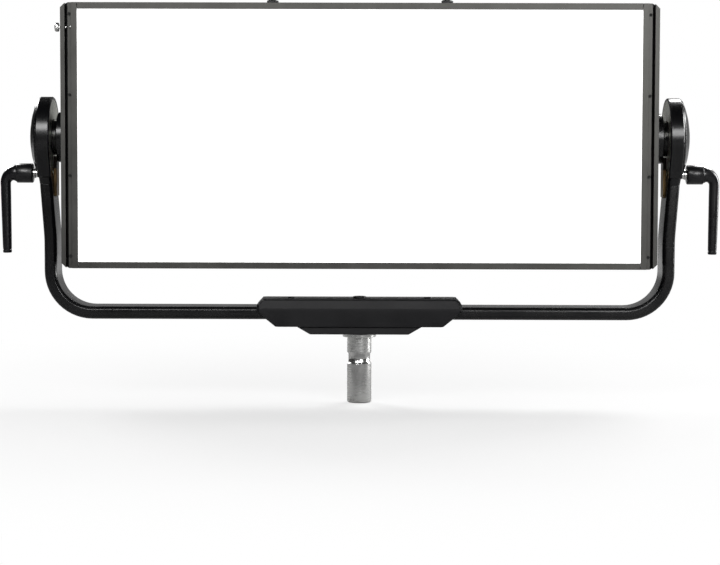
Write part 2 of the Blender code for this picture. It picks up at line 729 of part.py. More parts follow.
# ------------------------------------------------------------ panel frame
def corner_tool(target, side, edge, outwards):
    """Chamfer a frame corner: edge is the rail's end, outwards +1 at the top and -1 at the bottom."""
    reach = 0.0100
    inner = PANEL_HALF_WIDTH - FRAME_CHAMFER
    outline = (
        (side * (inner - OVERSHOOT), edge + outwards * OVERSHOOT),
        (side * (inner + reach), edge - outwards * reach),
        (side * (inner + reach), edge + outwards * OVERSHOOT),
    )
    name = f"tool_corner_{target.name}"
    return cut(target, prism(name, outline, "Y", PANEL_FRONT - OVERSHOOT, RAIL_BACK + OVERSHOOT))


def rail_screw_heights():
    return [RAIL_SCREW_LOWEST + i * RAIL_SCREW_PITCH for i in range(RAIL_SCREWS_PER_SIDE)]


def make_side_rail(name, side):
    """Extrusion with a front flange, a sunk floor for its screws and a slot for accessories."""
    floor = PANEL_FRONT + FLANGE_THICKNESS
    section = (
        (WINDOW_HALF_WIDTH, PANEL_FRONT),
        (SCREW_FLOOR_INNER, PANEL_FRONT),
        (SCREW_FLOOR_INNER, floor),
        (GROOVE_INNER, floor),
        (GROOVE_INNER, PANEL_FRONT + GROOVE_DEPTH),
        (GROOVE_OUTER, PANEL_FRONT + GROOVE_DEPTH),
        (GROOVE_OUTER, PANEL_FRONT),
        (PANEL_HALF_WIDTH, PANEL_FRONT),
        (PANEL_HALF_WIDTH, RAIL_BACK),
        (REBATE_HALF_WIDTH, RAIL_BACK),
        (REBATE_HALF_WIDTH, floor),
        (WINDOW_HALF_WIDTH, floor),
    )
    rail = prism(name, [(side * x, y) for x, y in section], "Z", PANEL_BOTTOM, PANEL_TOP)
    corner_tool(rail, side, PANEL_TOP, 1.0)
    corner_tool(rail, side, PANEL_BOTTOM, -1.0)
    for height in rail_screw_heights():
        centre = (side * RAIL_SCREW_X, height)
        bottom = floor + RAIL_SCREW_LENGTH + GAP
        bore(rail, "Y", centre, RAIL_SCREW_SHANK_RADIUS + GAP, floor - OVERSHOOT, bottom, FINE)
    if side < 0.0:
        reach = -(PANEL_HALF_WIDTH + OVERSHOOT)
        bore(rail, "X", (LATCH_Y, LATCH_Z), LATCH_PIN_RADIUS + GAP, -(GROOVE_OUTER - OVERSHOOT), reach, FINE)
    give(rail, "anodised_grey")


def make_cross_rail(name, edge, inwards):
    """Top or bottom rail: a front flange and a web; inwards points from its outer edge to the window."""
    floor = PANEL_FRONT + FLANGE_THICKNESS
    web = edge + inwards * WEB_THICKNESS
    lip = edge + inwards * CROSS_RAIL_HEIGHT
    section = (
        (PANEL_FRONT, edge),
        (RAIL_BACK, edge),
        (RAIL_BACK, web),
        (floor, web),
        (floor, lip),
        (PANEL_FRONT, lip),
    )
    half_length = WINDOW_HALF_WIDTH - GAP
    give(prism(name, section, "X", -half_length, half_length), "anodised_grey")


def make_rail_screw(name, side, height):
    seat = PANEL_FRONT + FLANGE_THICKNESS - GAP
    profile = (
        (0.60 * RAIL_SCREW_HEAD_RADIUS, seat - RAIL_SCREW_HEAD_HEIGHT),
        (RAIL_SCREW_HEAD_RADIUS, seat - RAIL_SCREW_HEAD_HEIGHT / 2.0),
        (RAIL_SCREW_HEAD_RADIUS, seat),
        (RAIL_SCREW_SHANK_RADIUS, seat),
        (RAIL_SCREW_SHANK_RADIUS, seat + RAIL_SCREW_LENGTH),
    )
    give(lathe(name, "Y", (side * RAIL_SCREW_X, height), profile, TINY), "steel_black")


def make_latch_plunger():
    profile = (
        (LATCH_PIN_RADIUS - 0.0004, -LATCH_PIN_TIP),
        (LATCH_PIN_RADIUS, -LATCH_PIN_TIP - 0.0004),
        (LATCH_PIN_RADIUS, -LATCH_KNOB_INNER),
        (LATCH_KNOB_RADIUS, -LATCH_KNOB_INNER),
        (LATCH_KNOB_RADIUS, -LATCH_KNOB_OUTER + 0.0006),
        (LATCH_KNOB_RADIUS - 0.0006, -LATCH_KNOB_OUTER),
    )
    plunger = lathe("latch_plunger", "X", (LATCH_Y, LATCH_Z), profile, SMALL)
    give(plunger, "steel", (-LATCH_KNOB_INNER, LATCH_Y, LATCH_Z))


def make_top_screw(name, side):
    """Captive screw: a knurled thumb head on the housing and a short shank through its wall."""
    seat = HOUSING_TOP + GAP
    centre = (side * TOP_SCREW_X, TOP_SCREW_Y)
    profile = (
        (TOP_SCREW_SHANK_RADIUS, TOP_SCREW_TIP),
        (TOP_SCREW_SHANK_RADIUS, seat),
        (TOP_SCREW_RADIUS - 0.0004, seat),
        (TOP_SCREW_RADIUS, seat + 0.0004),
        (TOP_SCREW_RADIUS, TOP_SCREW_TOP - 0.0006),
        (TOP_SCREW_RADIUS - 0.0006, TOP_SCREW_TOP),
    )
    give(lathe(name, "Z", centre, profile, SMALL), "steel_black", (*centre, TOP_SCREW_TOP))


# ----------------------------------------------------------- light engine
def make_diffuser():
    front = PANEL_FRONT + FLANGE_THICKNESS + GAP
    half_width = REBATE_HALF_WIDTH - GAP
    low = (-half_width, front, PANEL_BOTTOM + WEB_THICKNESS + GAP)
    high = (half_width, front + DIFFUSER_THICKNESS, PANEL_TOP - WEB_THICKNESS - GAP)
    give(box("diffuser", low, high), "diffuser_white")


def rectangle_loop(half_width, half_height, along):
    corners = ((-1, -1), (1, -1), (1, 1), (-1, 1))
    return [(i * half_width, along, MID_Z + k * half_height) for i, k in corners]


def make_reflector():
    """Four thin white walls that narrow from the diffuser to the LED board."""
    front_half_width = REBATE_HALF_WIDTH - 2.0 * GAP
    front_half_height = (PANEL_TOP - PANEL_BOTTOM) / 2.0 - WEB_THICKNESS - 3.0 * GAP
    wall = REFLECTOR_WALL
    loops = (
        rectangle_loop(front_half_width, front_half_height, REFLECTOR_FRONT),
        rectangle_loop(REFLECTOR_BACK_HALF_WIDTH, REFLECTOR_BACK_HALF_HEIGHT, REFLECTOR_BACK),
        rectangle_loop(REFLECTOR_BACK_HALF_WIDTH - wall, REFLECTOR_BACK_HALF_HEIGHT - wall, REFLECTOR_BACK),
        rectangle_loop(front_half_width - wall, front_half_height - wall, REFLECTOR_FRONT),
    )
    give(loft("reflector", loops, closed=True), "reflector_white")


def make_led_board():
    low = (-BOARD_HALF_WIDTH, BOARD_FRONT, MID_Z - BOARD_HALF_HEIGHT)
    high = (BOARD_HALF_WIDTH, HOUSING_BACK - HOUSING_FLOOR - GAP, MID_Z + BOARD_HALF_HEIGHT)
    give(box("led_board", low, high), "board_white")


def make_housing():
    """Open tray: it meets the frame rails in front and carries everything behind them."""
    middle = (HOUSING_BOTTOM + HOUSING_TOP) / 2.0
    half_height = (HOUSING_TOP - HOUSING_BOTTOM) / 2.0
    front = RAIL_BACK + GAP
    outside = chamfered_rectangle(HOUSING_HALF_WIDTH, half_height, FRAME_CHAMFER, (0.0, middle))
    housing = prism("housing", outside, "Y", front, HOUSING_BACK)
    inner_half_width = HOUSING_HALF_WIDTH - HOUSING_WALL
    inside = chamfered_rectangle(inner_half_width, half_height - HOUSING_WALL, FRAME_CHAMFER, (0.0, middle))
    cut(housing, prism("tool_tray", inside, "Y", front - OVERSHOOT, HOUSING_BACK - HOUSING_FLOOR))
    for side in SIDES.values():
        centre = (side * TOP_SCREW_X, TOP_SCREW_Y)
        bore(housing, "Z", centre, TOP_SCREW_SHANK_RADIUS + GAP, TOP_SCREW_TIP, HOUSING_TOP + OVERSHOOT)
    give(housing, "powder_black")


def make_heatsink(name, side):
    """Comb of upright fins on a base plate that bolts to the housing's back."""
    base_front = HOUSING_BACK + GAP
    base_back = base_front + HEATSINK_BASE
    pitch = (HEATSINK_OUTER - HEATSINK_INNER - FIN_THICKNESS) / (HEATSINK_FINS - 1)
    outline = [(HEATSINK_INNER, base_front), (HEATSINK_OUTER, base_front)]
    for i in range(HEATSINK_FINS):
        outer = HEATSINK_OUTER - i * pitch
        inner = outer - FIN_THICKNESS
        if i > 0:
            outline.append((outer, base_back))
        outline += [(outer, FIN_TIP), (inner, FIN_TIP)]
        if i < HEATSINK_FINS - 1:
            outline.append((inner, base_back))
    outline = [(side * x, y) for x, y in outline]
    give(prism(name, outline, "Z", HEATSINK_BOTTOM, HEATSINK_TOP), "aluminium_black")


# -------------------------------------------------- rear cover and controls
def cover_shell(name, wall, front, back):
    """Box with bevelled rear edges, made smaller all round by the wall's thickness."""
    middle = (COVER_BOTTOM + COVER_TOP) / 2.0
    half_width = COVER_HALF_WIDTH - wall
    half_height = (COVER_TOP - COVER_BOTTOM) / 2.0 - wall
    loops = []
    for along, inset in ((front, 0.0), (back - COVER_CHAMFER, 0.0), (back, COVER_CHAMFER)):
        outline = chamfered_rectangle(half_width - inset, half_height - inset, COVER_CHAMFER, (0.0, middle))
        loops.append([(x, along, z) for x, z in outline])
    return loft(name, loops)


def vent_slots(cover):
    for column in range(VENT_COLUMNS):
        centre = VENT_X * (2 * column - VENT_COLUMNS + 1)
        for row in range(VENT_ROWS):
            bottom = VENT_LOWEST + row * VENT_PITCH
            low = (centre - VENT_WIDTH / 2.0, COVER_BACK - COVER_WALL - OVERSHOOT, bottom)
            high = (centre + VENT_WIDTH / 2.0, COVER_BACK + OVERSHOOT, bottom + VENT_HEIGHT)
            cut(cover, box("tool_vent", low, high))


def make_rear_cover():
    front = HOUSING_BACK + GAP
    cover = cover_shell("rear_cover", 0.0, front, COVER_BACK)
    cut(cover, cover_shell("tool_cover_inside", COVER_WALL, front - OVERSHOOT, COVER_BACK - COVER_WALL))
    vent_slots(cover)
    inner, outer = COVER_BACK - COVER_WALL - OVERSHOOT, COVER_BACK + OVERSHOOT
    for x in SOCKET_XS.values():
        bore(cover, "Y", (x, SOCKET_Z), SOCKET_BARREL_RADIUS + GAP, inner, outer)
    for x in CONTROL_XS.values():
        bore(cover, "Y", (x, KNOB_Z), KNOB_SHAFT_RADIUS + GAP, inner, outer, FINE)
    low = (SWITCH_X - SWITCH_HALF_WIDTH - LOOSE_FIT, inner, SOCKET_Z - SWITCH_HALF_HEIGHT - LOOSE_FIT)
    high = (SWITCH_X + SWITCH_HALF_WIDTH + LOOSE_FIT, outer, SOCKET_Z + SWITCH_HALF_HEIGHT + LOOSE_FIT)
    cut(cover, box("tool_switch_opening", low, high))
    give(cover, "powder_black")


def make_power_supply():
    edge = 0.0012
    give(round_edges(box("power_supply", *POWER_SUPPLY_BOX), edge, 1), "zinc_plate")


def make_driver_board():
    """Circuit board on four standoffs at its corners."""
    low, high = DRIVER_BOARD_BOX
    board = box("driver_board", low, high)
    middle = (low[1] + high[1]) / 2.0
    profile = ((STANDOFF_RADIUS, HOUSING_BACK + 2.0 * GAP), (STANDOFF_RADIUS, middle))
    for x in (low[0] + STANDOFF_INSET, high[0] - STANDOFF_INSET):
        for z in (low[2] + STANDOFF_INSET, high[2] - STANDOFF_INSET):
            join(board, lathe("tool_standoff", "Y", (x, z), profile, TINY))
    give(board, "board_green")


def make_control_bezel():
    back = COVER_BACK + GAP + BEZEL_THICKNESS
    front = COVER_BACK + GAP
    middle = (BEZEL_BOTTOM + BEZEL_TOP) / 2.0
    half_height, edge = (BEZEL_TOP - BEZEL_BOTTOM) / 2.0, 0.0008
    outline = chamfered_rectangle(BEZEL_HALF_WIDTH, half_height, BEZEL_CHAMFER, (0.0, middle))
    bezel = round_edges(prism("control_bezel", outline, "Y", front, back), edge, 1)
    low = (DISPLAY_X - DISPLAY_HALF_WIDTH - GAP, front - OVERSHOOT, DISPLAY_Z - DISPLAY_HALF_HEIGHT - GAP)
    high = (DISPLAY_X + DISPLAY_HALF_WIDTH + GAP, back + OVERSHOOT, DISPLAY_Z + DISPLAY_HALF_HEIGHT + GAP)
    cut(bezel, box("tool_display_window", low, high))
    for x in CONTROL_XS.values():
        bore(bezel, "Y", (x, KNOB_Z), KNOB_SHAFT_RADIUS + GAP, front - OVERSHOOT, back + OVERSHOOT, FINE)
        bore(bezel, "Y", (x, BUTTON_Z), BUTTON_RADIUS + GAP, front - OVERSHOOT, back + OVERSHOOT)
    give(bezel, "plastic_black")


def make_display():
    front = COVER_BACK + GAP
    low = (DISPLAY_X - DISPLAY_HALF_WIDTH, front, DISPLAY_Z - DISPLAY_HALF_HEIGHT)
    back = front + BEZEL_THICKNESS - DISPLAY_RECESS
    high = (DISPLAY_X + DISPLAY_HALF_WIDTH, back, DISPLAY_Z + DISPLAY_HALF_HEIGHT)
    give(box("display", low, high), "display_glass")


def make_knob(name, x):
    seat = COVER_BACK + GAP + BEZEL_THICKNESS + GAP
    profile = (
        (KNOB_SHAFT_RADIUS, COVER_BACK - KNOB_SHAFT_DEPTH),
        (KNOB_SHAFT_RADIUS, seat),
        (KNOB_RADIUS, seat),
        (KNOB_RADIUS, seat + 0.0020),
        (KNOB_RADIUS - 0.0018, KNOB_TIP - 0.0008),
        (KNOB_RADIUS - 0.0026, KNOB_TIP),
    )
    give(lathe(name, "Y", (x, KNOB_Z), profile, MEDIUM), "plastic_black", (x, KNOB_TIP, KNOB_Z))


def make_button(name, x):
    profile = (
        (BUTTON_RADIUS, COVER_BACK + 0.0012),
        (BUTTON_RADIUS, BUTTON_TIP - 0.0006),
        (BUTTON_RADIUS - 0.0006, BUTTON_TIP),
    )
    give(lathe(name, "Y", (x, BUTTON_Z), profile, SMALL), "rubber_black", (x, BUTTON_TIP, BUTTON_Z))


def make_power_switch():
    """Rocker whose two faces meet in a shallow V; at rest its upper half is pressed in."""
    crest = SWITCH_FACE + SWITCH_FACE_RISE
    outline = (
        (-SWITCH_DEPTH, -0.80 * SWITCH_HALF_HEIGHT),
        (crest, -SWITCH_HALF_HEIGHT),
        (SWITCH_FACE, 0.0),
        (crest, SWITCH_HALF_HEIGHT),
        (-SWITCH_DEPTH, 0.80 * SWITCH_HALF_HEIGHT),
    )
    rocker = prism("power_switch", outline, "X", -SWITCH_HALF_WIDTH, SWITCH_HALF_WIDTH)
    give(rocker, "plastic_black")
    rocker.location = (SWITCH_X, COVER_BACK - COVER_WALL / 2.0, SOCKET_Z)
    rocker.rotation_euler = (SWITCH_THROW / 2.0, 0.0, 0.0)


def make_socket(name):
    """Chassis connector: a square flange on the cover and a round barrel inside it."""
    x = SOCKET_XS[name]
    front = COVER_BACK + GAP
    back = front + SOCKET_FLANGE_THICKNESS
    outline = chamfered_rectangle(SOCKET_FLANGE_HALF_WIDTH, SOCKET_FLANGE_HALF_HEIGHT, 0.0025, (x, SOCKET_Z))
    socket = prism(name, outline, "Y", front, back)
    barrel = ((SOCKET_BARREL_RADIUS, SOCKET_BARREL_FRONT), (SOCKET_BARREL_RADIUS, front + OVERSHOOT))
    join(socket, lathe(f"tool_barrel_{name}", "Y", (x, SOCKET_Z), barrel, SMALL))
    return socket, x, back


def square_socket(name, half_width, half_height):
    socket, x, back = make_socket(name)
    low = (x - half_width, back - SOCKET_DEPTH, SOCKET_Z - half_height)
    high = (x + half_width, back + OVERSHOOT, SOCKET_Z + half_height)
    cut(socket, box(f"tool_hole_{name}", low, high))
    give(socket, "plastic_black")


def round_socket(name, radius):
    socket, x, back = make_socket(name)
    bore(socket, "Y", (x, SOCKET_Z), radius, back - SOCKET_DEPTH, back + OVERSHOOT, MEDIUM)
    give(socket, "plastic_black")


def pin_socket(name, pins, ring_radius, hole_radius):
    """Contact holes on most of a circle, in a face that fills the barrel."""
    socket, x, back = make_socket(name)
    for pin in range(pins):
        turn = PIN_HOLE_STEP * pin
        centre = (x + ring_radius * math.cos(turn), SOCKET_Z + ring_radius * math.sin(turn))
        bore(socket, "Y", centre, hole_radius, back - PIN_HOLE_DEPTH, back + OVERSHOOT, TINY)
    give(socket, "plastic_black")


def make_rear_handle(name, side):
    """Round bar bent out, along and back in, standing on the rear cover."""
    foot, bend_steps = COVER_BACK + GAP, 5
    ring = circle(HANDLE_RADIUS, FINE)
    bend_y = HANDLE_BAR_Y - HANDLE_BEND
    stations = [(foot, HANDLE_BOTTOM, 0.0)]
    for step in range(bend_steps + 1):
        turn = math.radians(90.0) * step / bend_steps
        y = bend_y + HANDLE_BEND * math.sin(turn)
        stations.append((y, HANDLE_BOTTOM + HANDLE_BEND * (1.0 - math.cos(turn)), turn))
    height = HANDLE_BOTTOM + HANDLE_TOP
    stations += [(y, height - z, math.pi - turn) for y, z, turn in reversed(stations)]
    loops = []
    for y, z, turn in stations:
        across_y, across_z = -math.sin(turn), math.cos(turn)
        loops.append([(side * HANDLE_X + x, y + out * across_y, z + out * across_z) for x, out in ring])
    give(loft(name, loops), "rubber_black")


# ------------------------------------------------------------------ build
def build():
    clear_scene()
    make_spigot()
    make_spigot_bolt()
    make_spigot_plate()
    make_base_casting()
    make_yoke_tube()
    make_cross_rail("frame_rail_top", PANEL_TOP, -1.0)
    make_cross_rail("frame_rail_bottom", PANEL_BOTTOM, 1.0)
    make_latch_plunger()
    make_diffuser()
    make_reflector()
    make_led_board()
    make_housing()
    make_rear_cover()
    make_power_supply()
    make_driver_board()
    make_control_bezel()
    make_display()
    make_power_switch()
    square_socket("power_inlet", 0.0100, 0.0065)
    round_socket("dmx_input", 0.0092)
    pin_socket("dmx_output", 5, 0.0058, 0.0012)
    square_socket("ethernet_port", 0.0080, 0.0060)
    for label, x in CONTROL_XS.items():
        make_knob(f"knob_{label}", x)
        make_button(f"button_{label}", x)
    for label, side in SIDES.items():
        make_clamp_screw(f"clamp_screw_{label}", side)
        make_yoke_head(f"yoke_head_{label}", side)
        make_head_liner(f"head_liner_{label}", side)
        make_pivot_bush(f"pivot_bush_{label}", side)
        make_head_cover(f"head_cover_{label}", side)
        make_lock_screw(f"lock_screw_{label}", side)
        make_lever(f"lever_{label}", side)
        make_brake_leaf(f"brake_leaf_{label}", side)
        make_pivot_hub(f"pivot_hub_{label}", side)
        make_side_rail(f"frame_rail_{label}", side)
        for number, height in enumerate(rail_screw_heights(), start=1):
            make_rail_screw(f"rail_screw_{label}_{number}", side, height)
        make_top_screw(f"top_screw_{label}", side)
        make_heatsink(f"heatsink_{label}", side)
        make_rear_handle(f"rear_handle_{label}", side)


build()
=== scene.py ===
"""Looks of the LED panel light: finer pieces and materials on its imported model, and its stage.

Metres, in the model's own frame: +Z is up, +X the viewer's right, and the lit face looks along -Y.
"""

import json
import math

import bmesh
import bpy
from mathutils import Matrix, Vector


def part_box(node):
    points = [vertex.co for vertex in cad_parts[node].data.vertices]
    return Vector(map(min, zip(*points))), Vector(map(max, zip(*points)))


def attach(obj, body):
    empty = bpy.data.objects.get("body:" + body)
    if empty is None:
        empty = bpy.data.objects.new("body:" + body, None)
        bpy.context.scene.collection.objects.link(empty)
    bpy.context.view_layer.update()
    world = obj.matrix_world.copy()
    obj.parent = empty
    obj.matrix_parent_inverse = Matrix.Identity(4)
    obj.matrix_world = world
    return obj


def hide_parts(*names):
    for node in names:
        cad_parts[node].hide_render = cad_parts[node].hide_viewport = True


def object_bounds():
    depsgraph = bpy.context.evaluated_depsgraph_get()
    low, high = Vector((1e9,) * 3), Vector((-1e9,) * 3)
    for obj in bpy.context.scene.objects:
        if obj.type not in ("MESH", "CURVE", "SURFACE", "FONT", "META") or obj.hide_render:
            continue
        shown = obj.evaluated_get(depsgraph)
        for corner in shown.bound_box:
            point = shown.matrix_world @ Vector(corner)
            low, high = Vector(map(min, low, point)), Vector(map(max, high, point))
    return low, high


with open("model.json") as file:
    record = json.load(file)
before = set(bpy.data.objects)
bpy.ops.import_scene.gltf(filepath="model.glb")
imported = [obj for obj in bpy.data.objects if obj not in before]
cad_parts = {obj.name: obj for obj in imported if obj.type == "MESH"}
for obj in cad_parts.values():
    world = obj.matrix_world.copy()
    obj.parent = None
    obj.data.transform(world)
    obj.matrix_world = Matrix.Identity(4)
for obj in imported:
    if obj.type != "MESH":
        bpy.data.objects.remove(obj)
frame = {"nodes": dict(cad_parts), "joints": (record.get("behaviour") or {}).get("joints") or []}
cad_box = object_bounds()
NODES = frame["nodes"]
JOINTS = {joint["name"]: joint for joint in frame["joints"]}
SIDES = {"left": -1.0, "right": 1.0}
PIVOT_Z = JOINTS["panel_tilt"]["pos_m"][2]
LOCK_Z = JOINTS["lever_turn_right"]["pos_m"][2]
HUB_FACE = JOINTS["lever_turn_right"]["pos_m"][0]
QUARTER = math.radians(90.0)

# Steps along each turned piece, as distances from the middle of the light
FLANGE_FACE = 0.3458
BOSS_FACE = 0.3538
FLANGE_RADIUS = 0.0286
BOSS_RADIUS = 0.0202
COLLAR_START = 0.3722
COLLAR_END = 0.3747
LATCH_FACE = 0.3361
RAIL_FACE_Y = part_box("frame_rail_left")[0].y

# Screw heads
SPIGOT_BOLT_RADIUS = 0.0075
CLAMP_SCREW_RADIUS = 0.0045
RAIL_SCREW_RADIUS = 0.0017
RAIL_SCREW_HEIGHT = 0.0012
COVER_SCREW = {"radius": 0.0027, "height": 0.0013, "sunk": 0.0004}
BEZEL_SCREW = {"radius": 0.0018, "height": 0.0009, "sunk": 0.0004}
CONNECTOR_SCREW = {"radius": 0.0016, "height": 0.0008, "sunk": 0.0004}

# How far print and lit marks stand out of the surface that they are on
PRINT_HEIGHT = 0.00012

# Rounding of the CAD nodes' edges, by node where it isn't the usual one
EDGE_WIDTH = 0.0004
EDGE_WIDTHS = {"base_casting": 0.0009, "spigot_plate": 0.0007, "housing": 0.0006, "rear_cover": 0.0007}
HIDDEN_NODES = ("reflector", "led_board", "power_supply", "driver_board")

# Where noise values begin and end in practice: for mottling, for soft clouds and for the patches of
# scuffed edges and painted edge highlight
MOTTLE = (0.35, 0.65)
CLOUD = (0.30, 0.70)
WEAR_AND_HIGHLIGHT_PATCHES = (0.42, 0.62)

# Camera, lights (place, size, watts) and floor
CAMERA_PLACE = (0.0124, -2.5, PIVOT_Z)
CAMERA_LENS = 108.7
CAMERA_PITCH = math.radians(-3.8)
CAMERA_YAW = math.radians(0.27)
CAMERA_ROLL = math.radians(0.15)
LIT_POINT = (0.0, 0.0, 0.28)
LIGHTS = {
    "key": ((-0.72, -2.15, 1.56), (1.5, 0.75), 46.0),
    "fill": ((0.98, -2.4, 1.08), (0.9, 0.9), 32.0),
    "right": ((2.5, 0.7, 0.85), (0.7, 1.5), 74.0),
    "rear_key": ((1.5, 2.3, 2.3), (1.6, 0.9), 140.0),
    "rear_fill": ((-1.7, 2.2, 1.7), (1.0, 1.0), 85.0),
}
FLOOR_RADIUS = 9.0
FLOOR_DROP = 0.0002
WHITE = (1.0, 1.0, 1.0, 1.0)


# --------------------------------------------------------------- shader nodes
def add(tree, kind, settings=None, **inputs):
    """Add a shader node; an input given as a socket is linked, and any other is set.

    An input's name has _ for a space.
    """
    made = tree.nodes.new("ShaderNode" + kind)
    for key, value in (settings or {}).items():
        setattr(made, key, value)
    for key, value in inputs.items():
        socket = made.inputs[key.replace("_", " ")]
        if isinstance(value, bpy.types.NodeSocket):
            tree.links.new(value, socket)
        else:
            socket.default_value = value
    return made


def calculate(tree, operation, *values):
    made = tree.nodes.new("ShaderNodeMath")
    made.operation = operation
    for socket, value in zip(made.inputs, values):
        if isinstance(value, bpy.types.NodeSocket):
            tree.links.new(value, socket)
        else:
            socket.default_value = value
    return made.outputs[0]


def spread(tree, value, low, high, start=0.0, end=1.0):
    """Map a value between start and end to between low and high."""
    made = add(tree, "MapRange", Value=value, From_Min=start, From_Max=end, To_Min=low, To_Max=high)
    return made.outputs["Result"]


def blend(tree, factor, first, second):
    """Mix two colours, each a socket or an RGB triple."""
    made = tree.nodes.new("ShaderNodeMix")
    made.data_type = "RGBA"
    tree.links.new(factor, made.inputs["Factor"])
    for socket, value in ((made.inputs[6], first), (made.inputs[7], second)):
        if isinstance(value, bpy.types.NodeSocket):
            tree.links.new(value, socket)
        else:
            socket.default_value = (*value, 1.0)
    return made.outputs[2]


def noise(tree, size, stretch=(1.0, 1.0, 1.0), detail=3.0):
    """Noise with features of about this size in metres, drawn out where an axis's stretch is over 1."""
    place = add(tree, "TexCoord").outputs["Object"]
    scale = [1.0 / (size * part) for part in stretch]
    moved = add(tree, "Mapping", Vector=place, Scale=scale).outputs["Vector"]
    return add(tree, "TexNoise", Vector=moved, Scale=1.0, Detail=detail).outputs["Fac"]


def edge_mask(tree, radius):
    """Near 1 on convex edges and 0 on flats, broken up in patches; it places scuffed edges, and on the
    satin paint a painted edge highlight.
    """
    flat_cosine, edge_cosine, patch = 0.985, 0.860, 0.0045
    bevel = add(tree, "Bevel", {"samples": 4}, Radius=radius).outputs["Normal"]
    normal = add(tree, "NewGeometry").outputs["Normal"]
    dot = tree.nodes.new("ShaderNodeVectorMath")
    dot.operation = "DOT_PRODUCT"
    tree.links.new(bevel, dot.inputs[0])
    tree.links.new(normal, dot.inputs[1])
    rim = spread(tree, dot.outputs["Value"], 0.0, 1.0, flat_cosine, edge_cosine)
    broken = spread(tree, noise(tree, patch, detail=5.0), 0.0, 1.0, *WEAR_AND_HIGHLIGHT_PATCHES)
    return calculate(tree, "MULTIPLY", rim, broken)


def surface(
    name,
    dark,
    light,
    rough,
    swing=0.06,
    metallic=0.0,
    grain=0.0006,
    depth=0.00003,
    stretch=(1.0, 1.0, 1.0),
    patch=0.035,
    wear_and_highlight_colour=None,
    wear_and_highlight_strength=0.35,
    specular=0.5,
    coat=0.0,
    edge=0.0007,
):
    """A finish that varies between two shades, with grain of a real size in metres and edges blended to
    an edge colour: scuffs on most finishes, a painted highlight on the satin paint.
    """
    patch_share, grain_share, polish, bump_edge = 0.6, 0.4, 0.15, 0.6
    made = bpy.data.materials.new(name)
    made.use_nodes = True
    tree = made.node_tree
    shader = tree.nodes["Principled BSDF"]
    patches = noise(tree, patch, detail=4.0)
    fine = noise(tree, grain, stretch, 2.0)
    coarse_part = calculate(tree, "MULTIPLY", patches, patch_share)
    fine_part = calculate(tree, "MULTIPLY", fine, grain_share)
    mottle = calculate(tree, "ADD", coarse_part, fine_part)
    colour = blend(tree, spread(tree, mottle, 0.0, 1.0, *MOTTLE), dark, light)
    roughness = spread(tree, mottle, rough - swing, rough + swing, *MOTTLE)
    # Edges blend to the given edge colour: scuffs on most finishes, a painted highlight on the satin
    # paint.
    if wear_and_highlight_colour:
        wear_and_highlight_blend = calculate(tree, "MULTIPLY", edge_mask(tree, edge), wear_and_highlight_strength)
        colour = blend(tree, wear_and_highlight_blend, colour, wear_and_highlight_colour)
        roughness = calculate(tree, "SUBTRACT", roughness, calculate(tree, "MULTIPLY", wear_and_highlight_blend, polish))
    tree.links.new(colour, shader.inputs["Base Color"])
    tree.links.new(roughness, shader.inputs["Roughness"])
    rounded = add(tree, "Bevel", {"samples": 4}, Radius=bump_edge * edge).outputs["Normal"]
    bump = add(tree, "Bump", Height=fine, Normal=rounded, Distance=depth, Strength=1.0)
    tree.links.new(bump.outputs["Normal"], shader.inputs["Normal"])
    shader.inputs["Metallic"].default_value = metallic
    shader.inputs["Specular IOR Level"].default_value = specular
    shader.inputs["Coat Weight"].default_value = coat
    shader.inputs["Coat Roughness"].default_value = 0.25
    return made


def painted_shade_along(made, axis, start, end, shade):
    """Blend a finish into a darker shade from start to end along an axis: painted shade, for a recess
    and for the shadow under a part.
    """
    tree = made.node_tree
    socket = tree.nodes["Principled BSDF"].inputs["Base Color"]
    colour = socket.links[0].from_socket
    place = add(tree, "SeparateXYZ", Vector=add(tree, "TexCoord").outputs["Object"])
    depth = spread(tree, place.outputs[axis], 0.0, 1.0, start, end)
    tree.links.new(blend(tree, depth, colour, shade), socket)
    return made


def glowing(name, colour, strength, shade=0.97):
    """A lit surface with faint cloudiness and a fine satin grain."""
    cloud_size = 0.09
    dimmer = tuple(shade * part for part in colour)
    made = surface(name, dimmer, colour, 0.5, grain=0.0004, depth=0.00001)
    tree = made.node_tree
    shader = tree.nodes["Principled BSDF"]
    cloud = spread(tree, noise(tree, cloud_size, detail=2.0), 0.0, 1.0, *CLOUD)
    tree.links.new(blend(tree, cloud, dimmer, colour), shader.inputs["Emission Color"])
    shader.inputs["Emission Strength"].default_value = strength
    return made


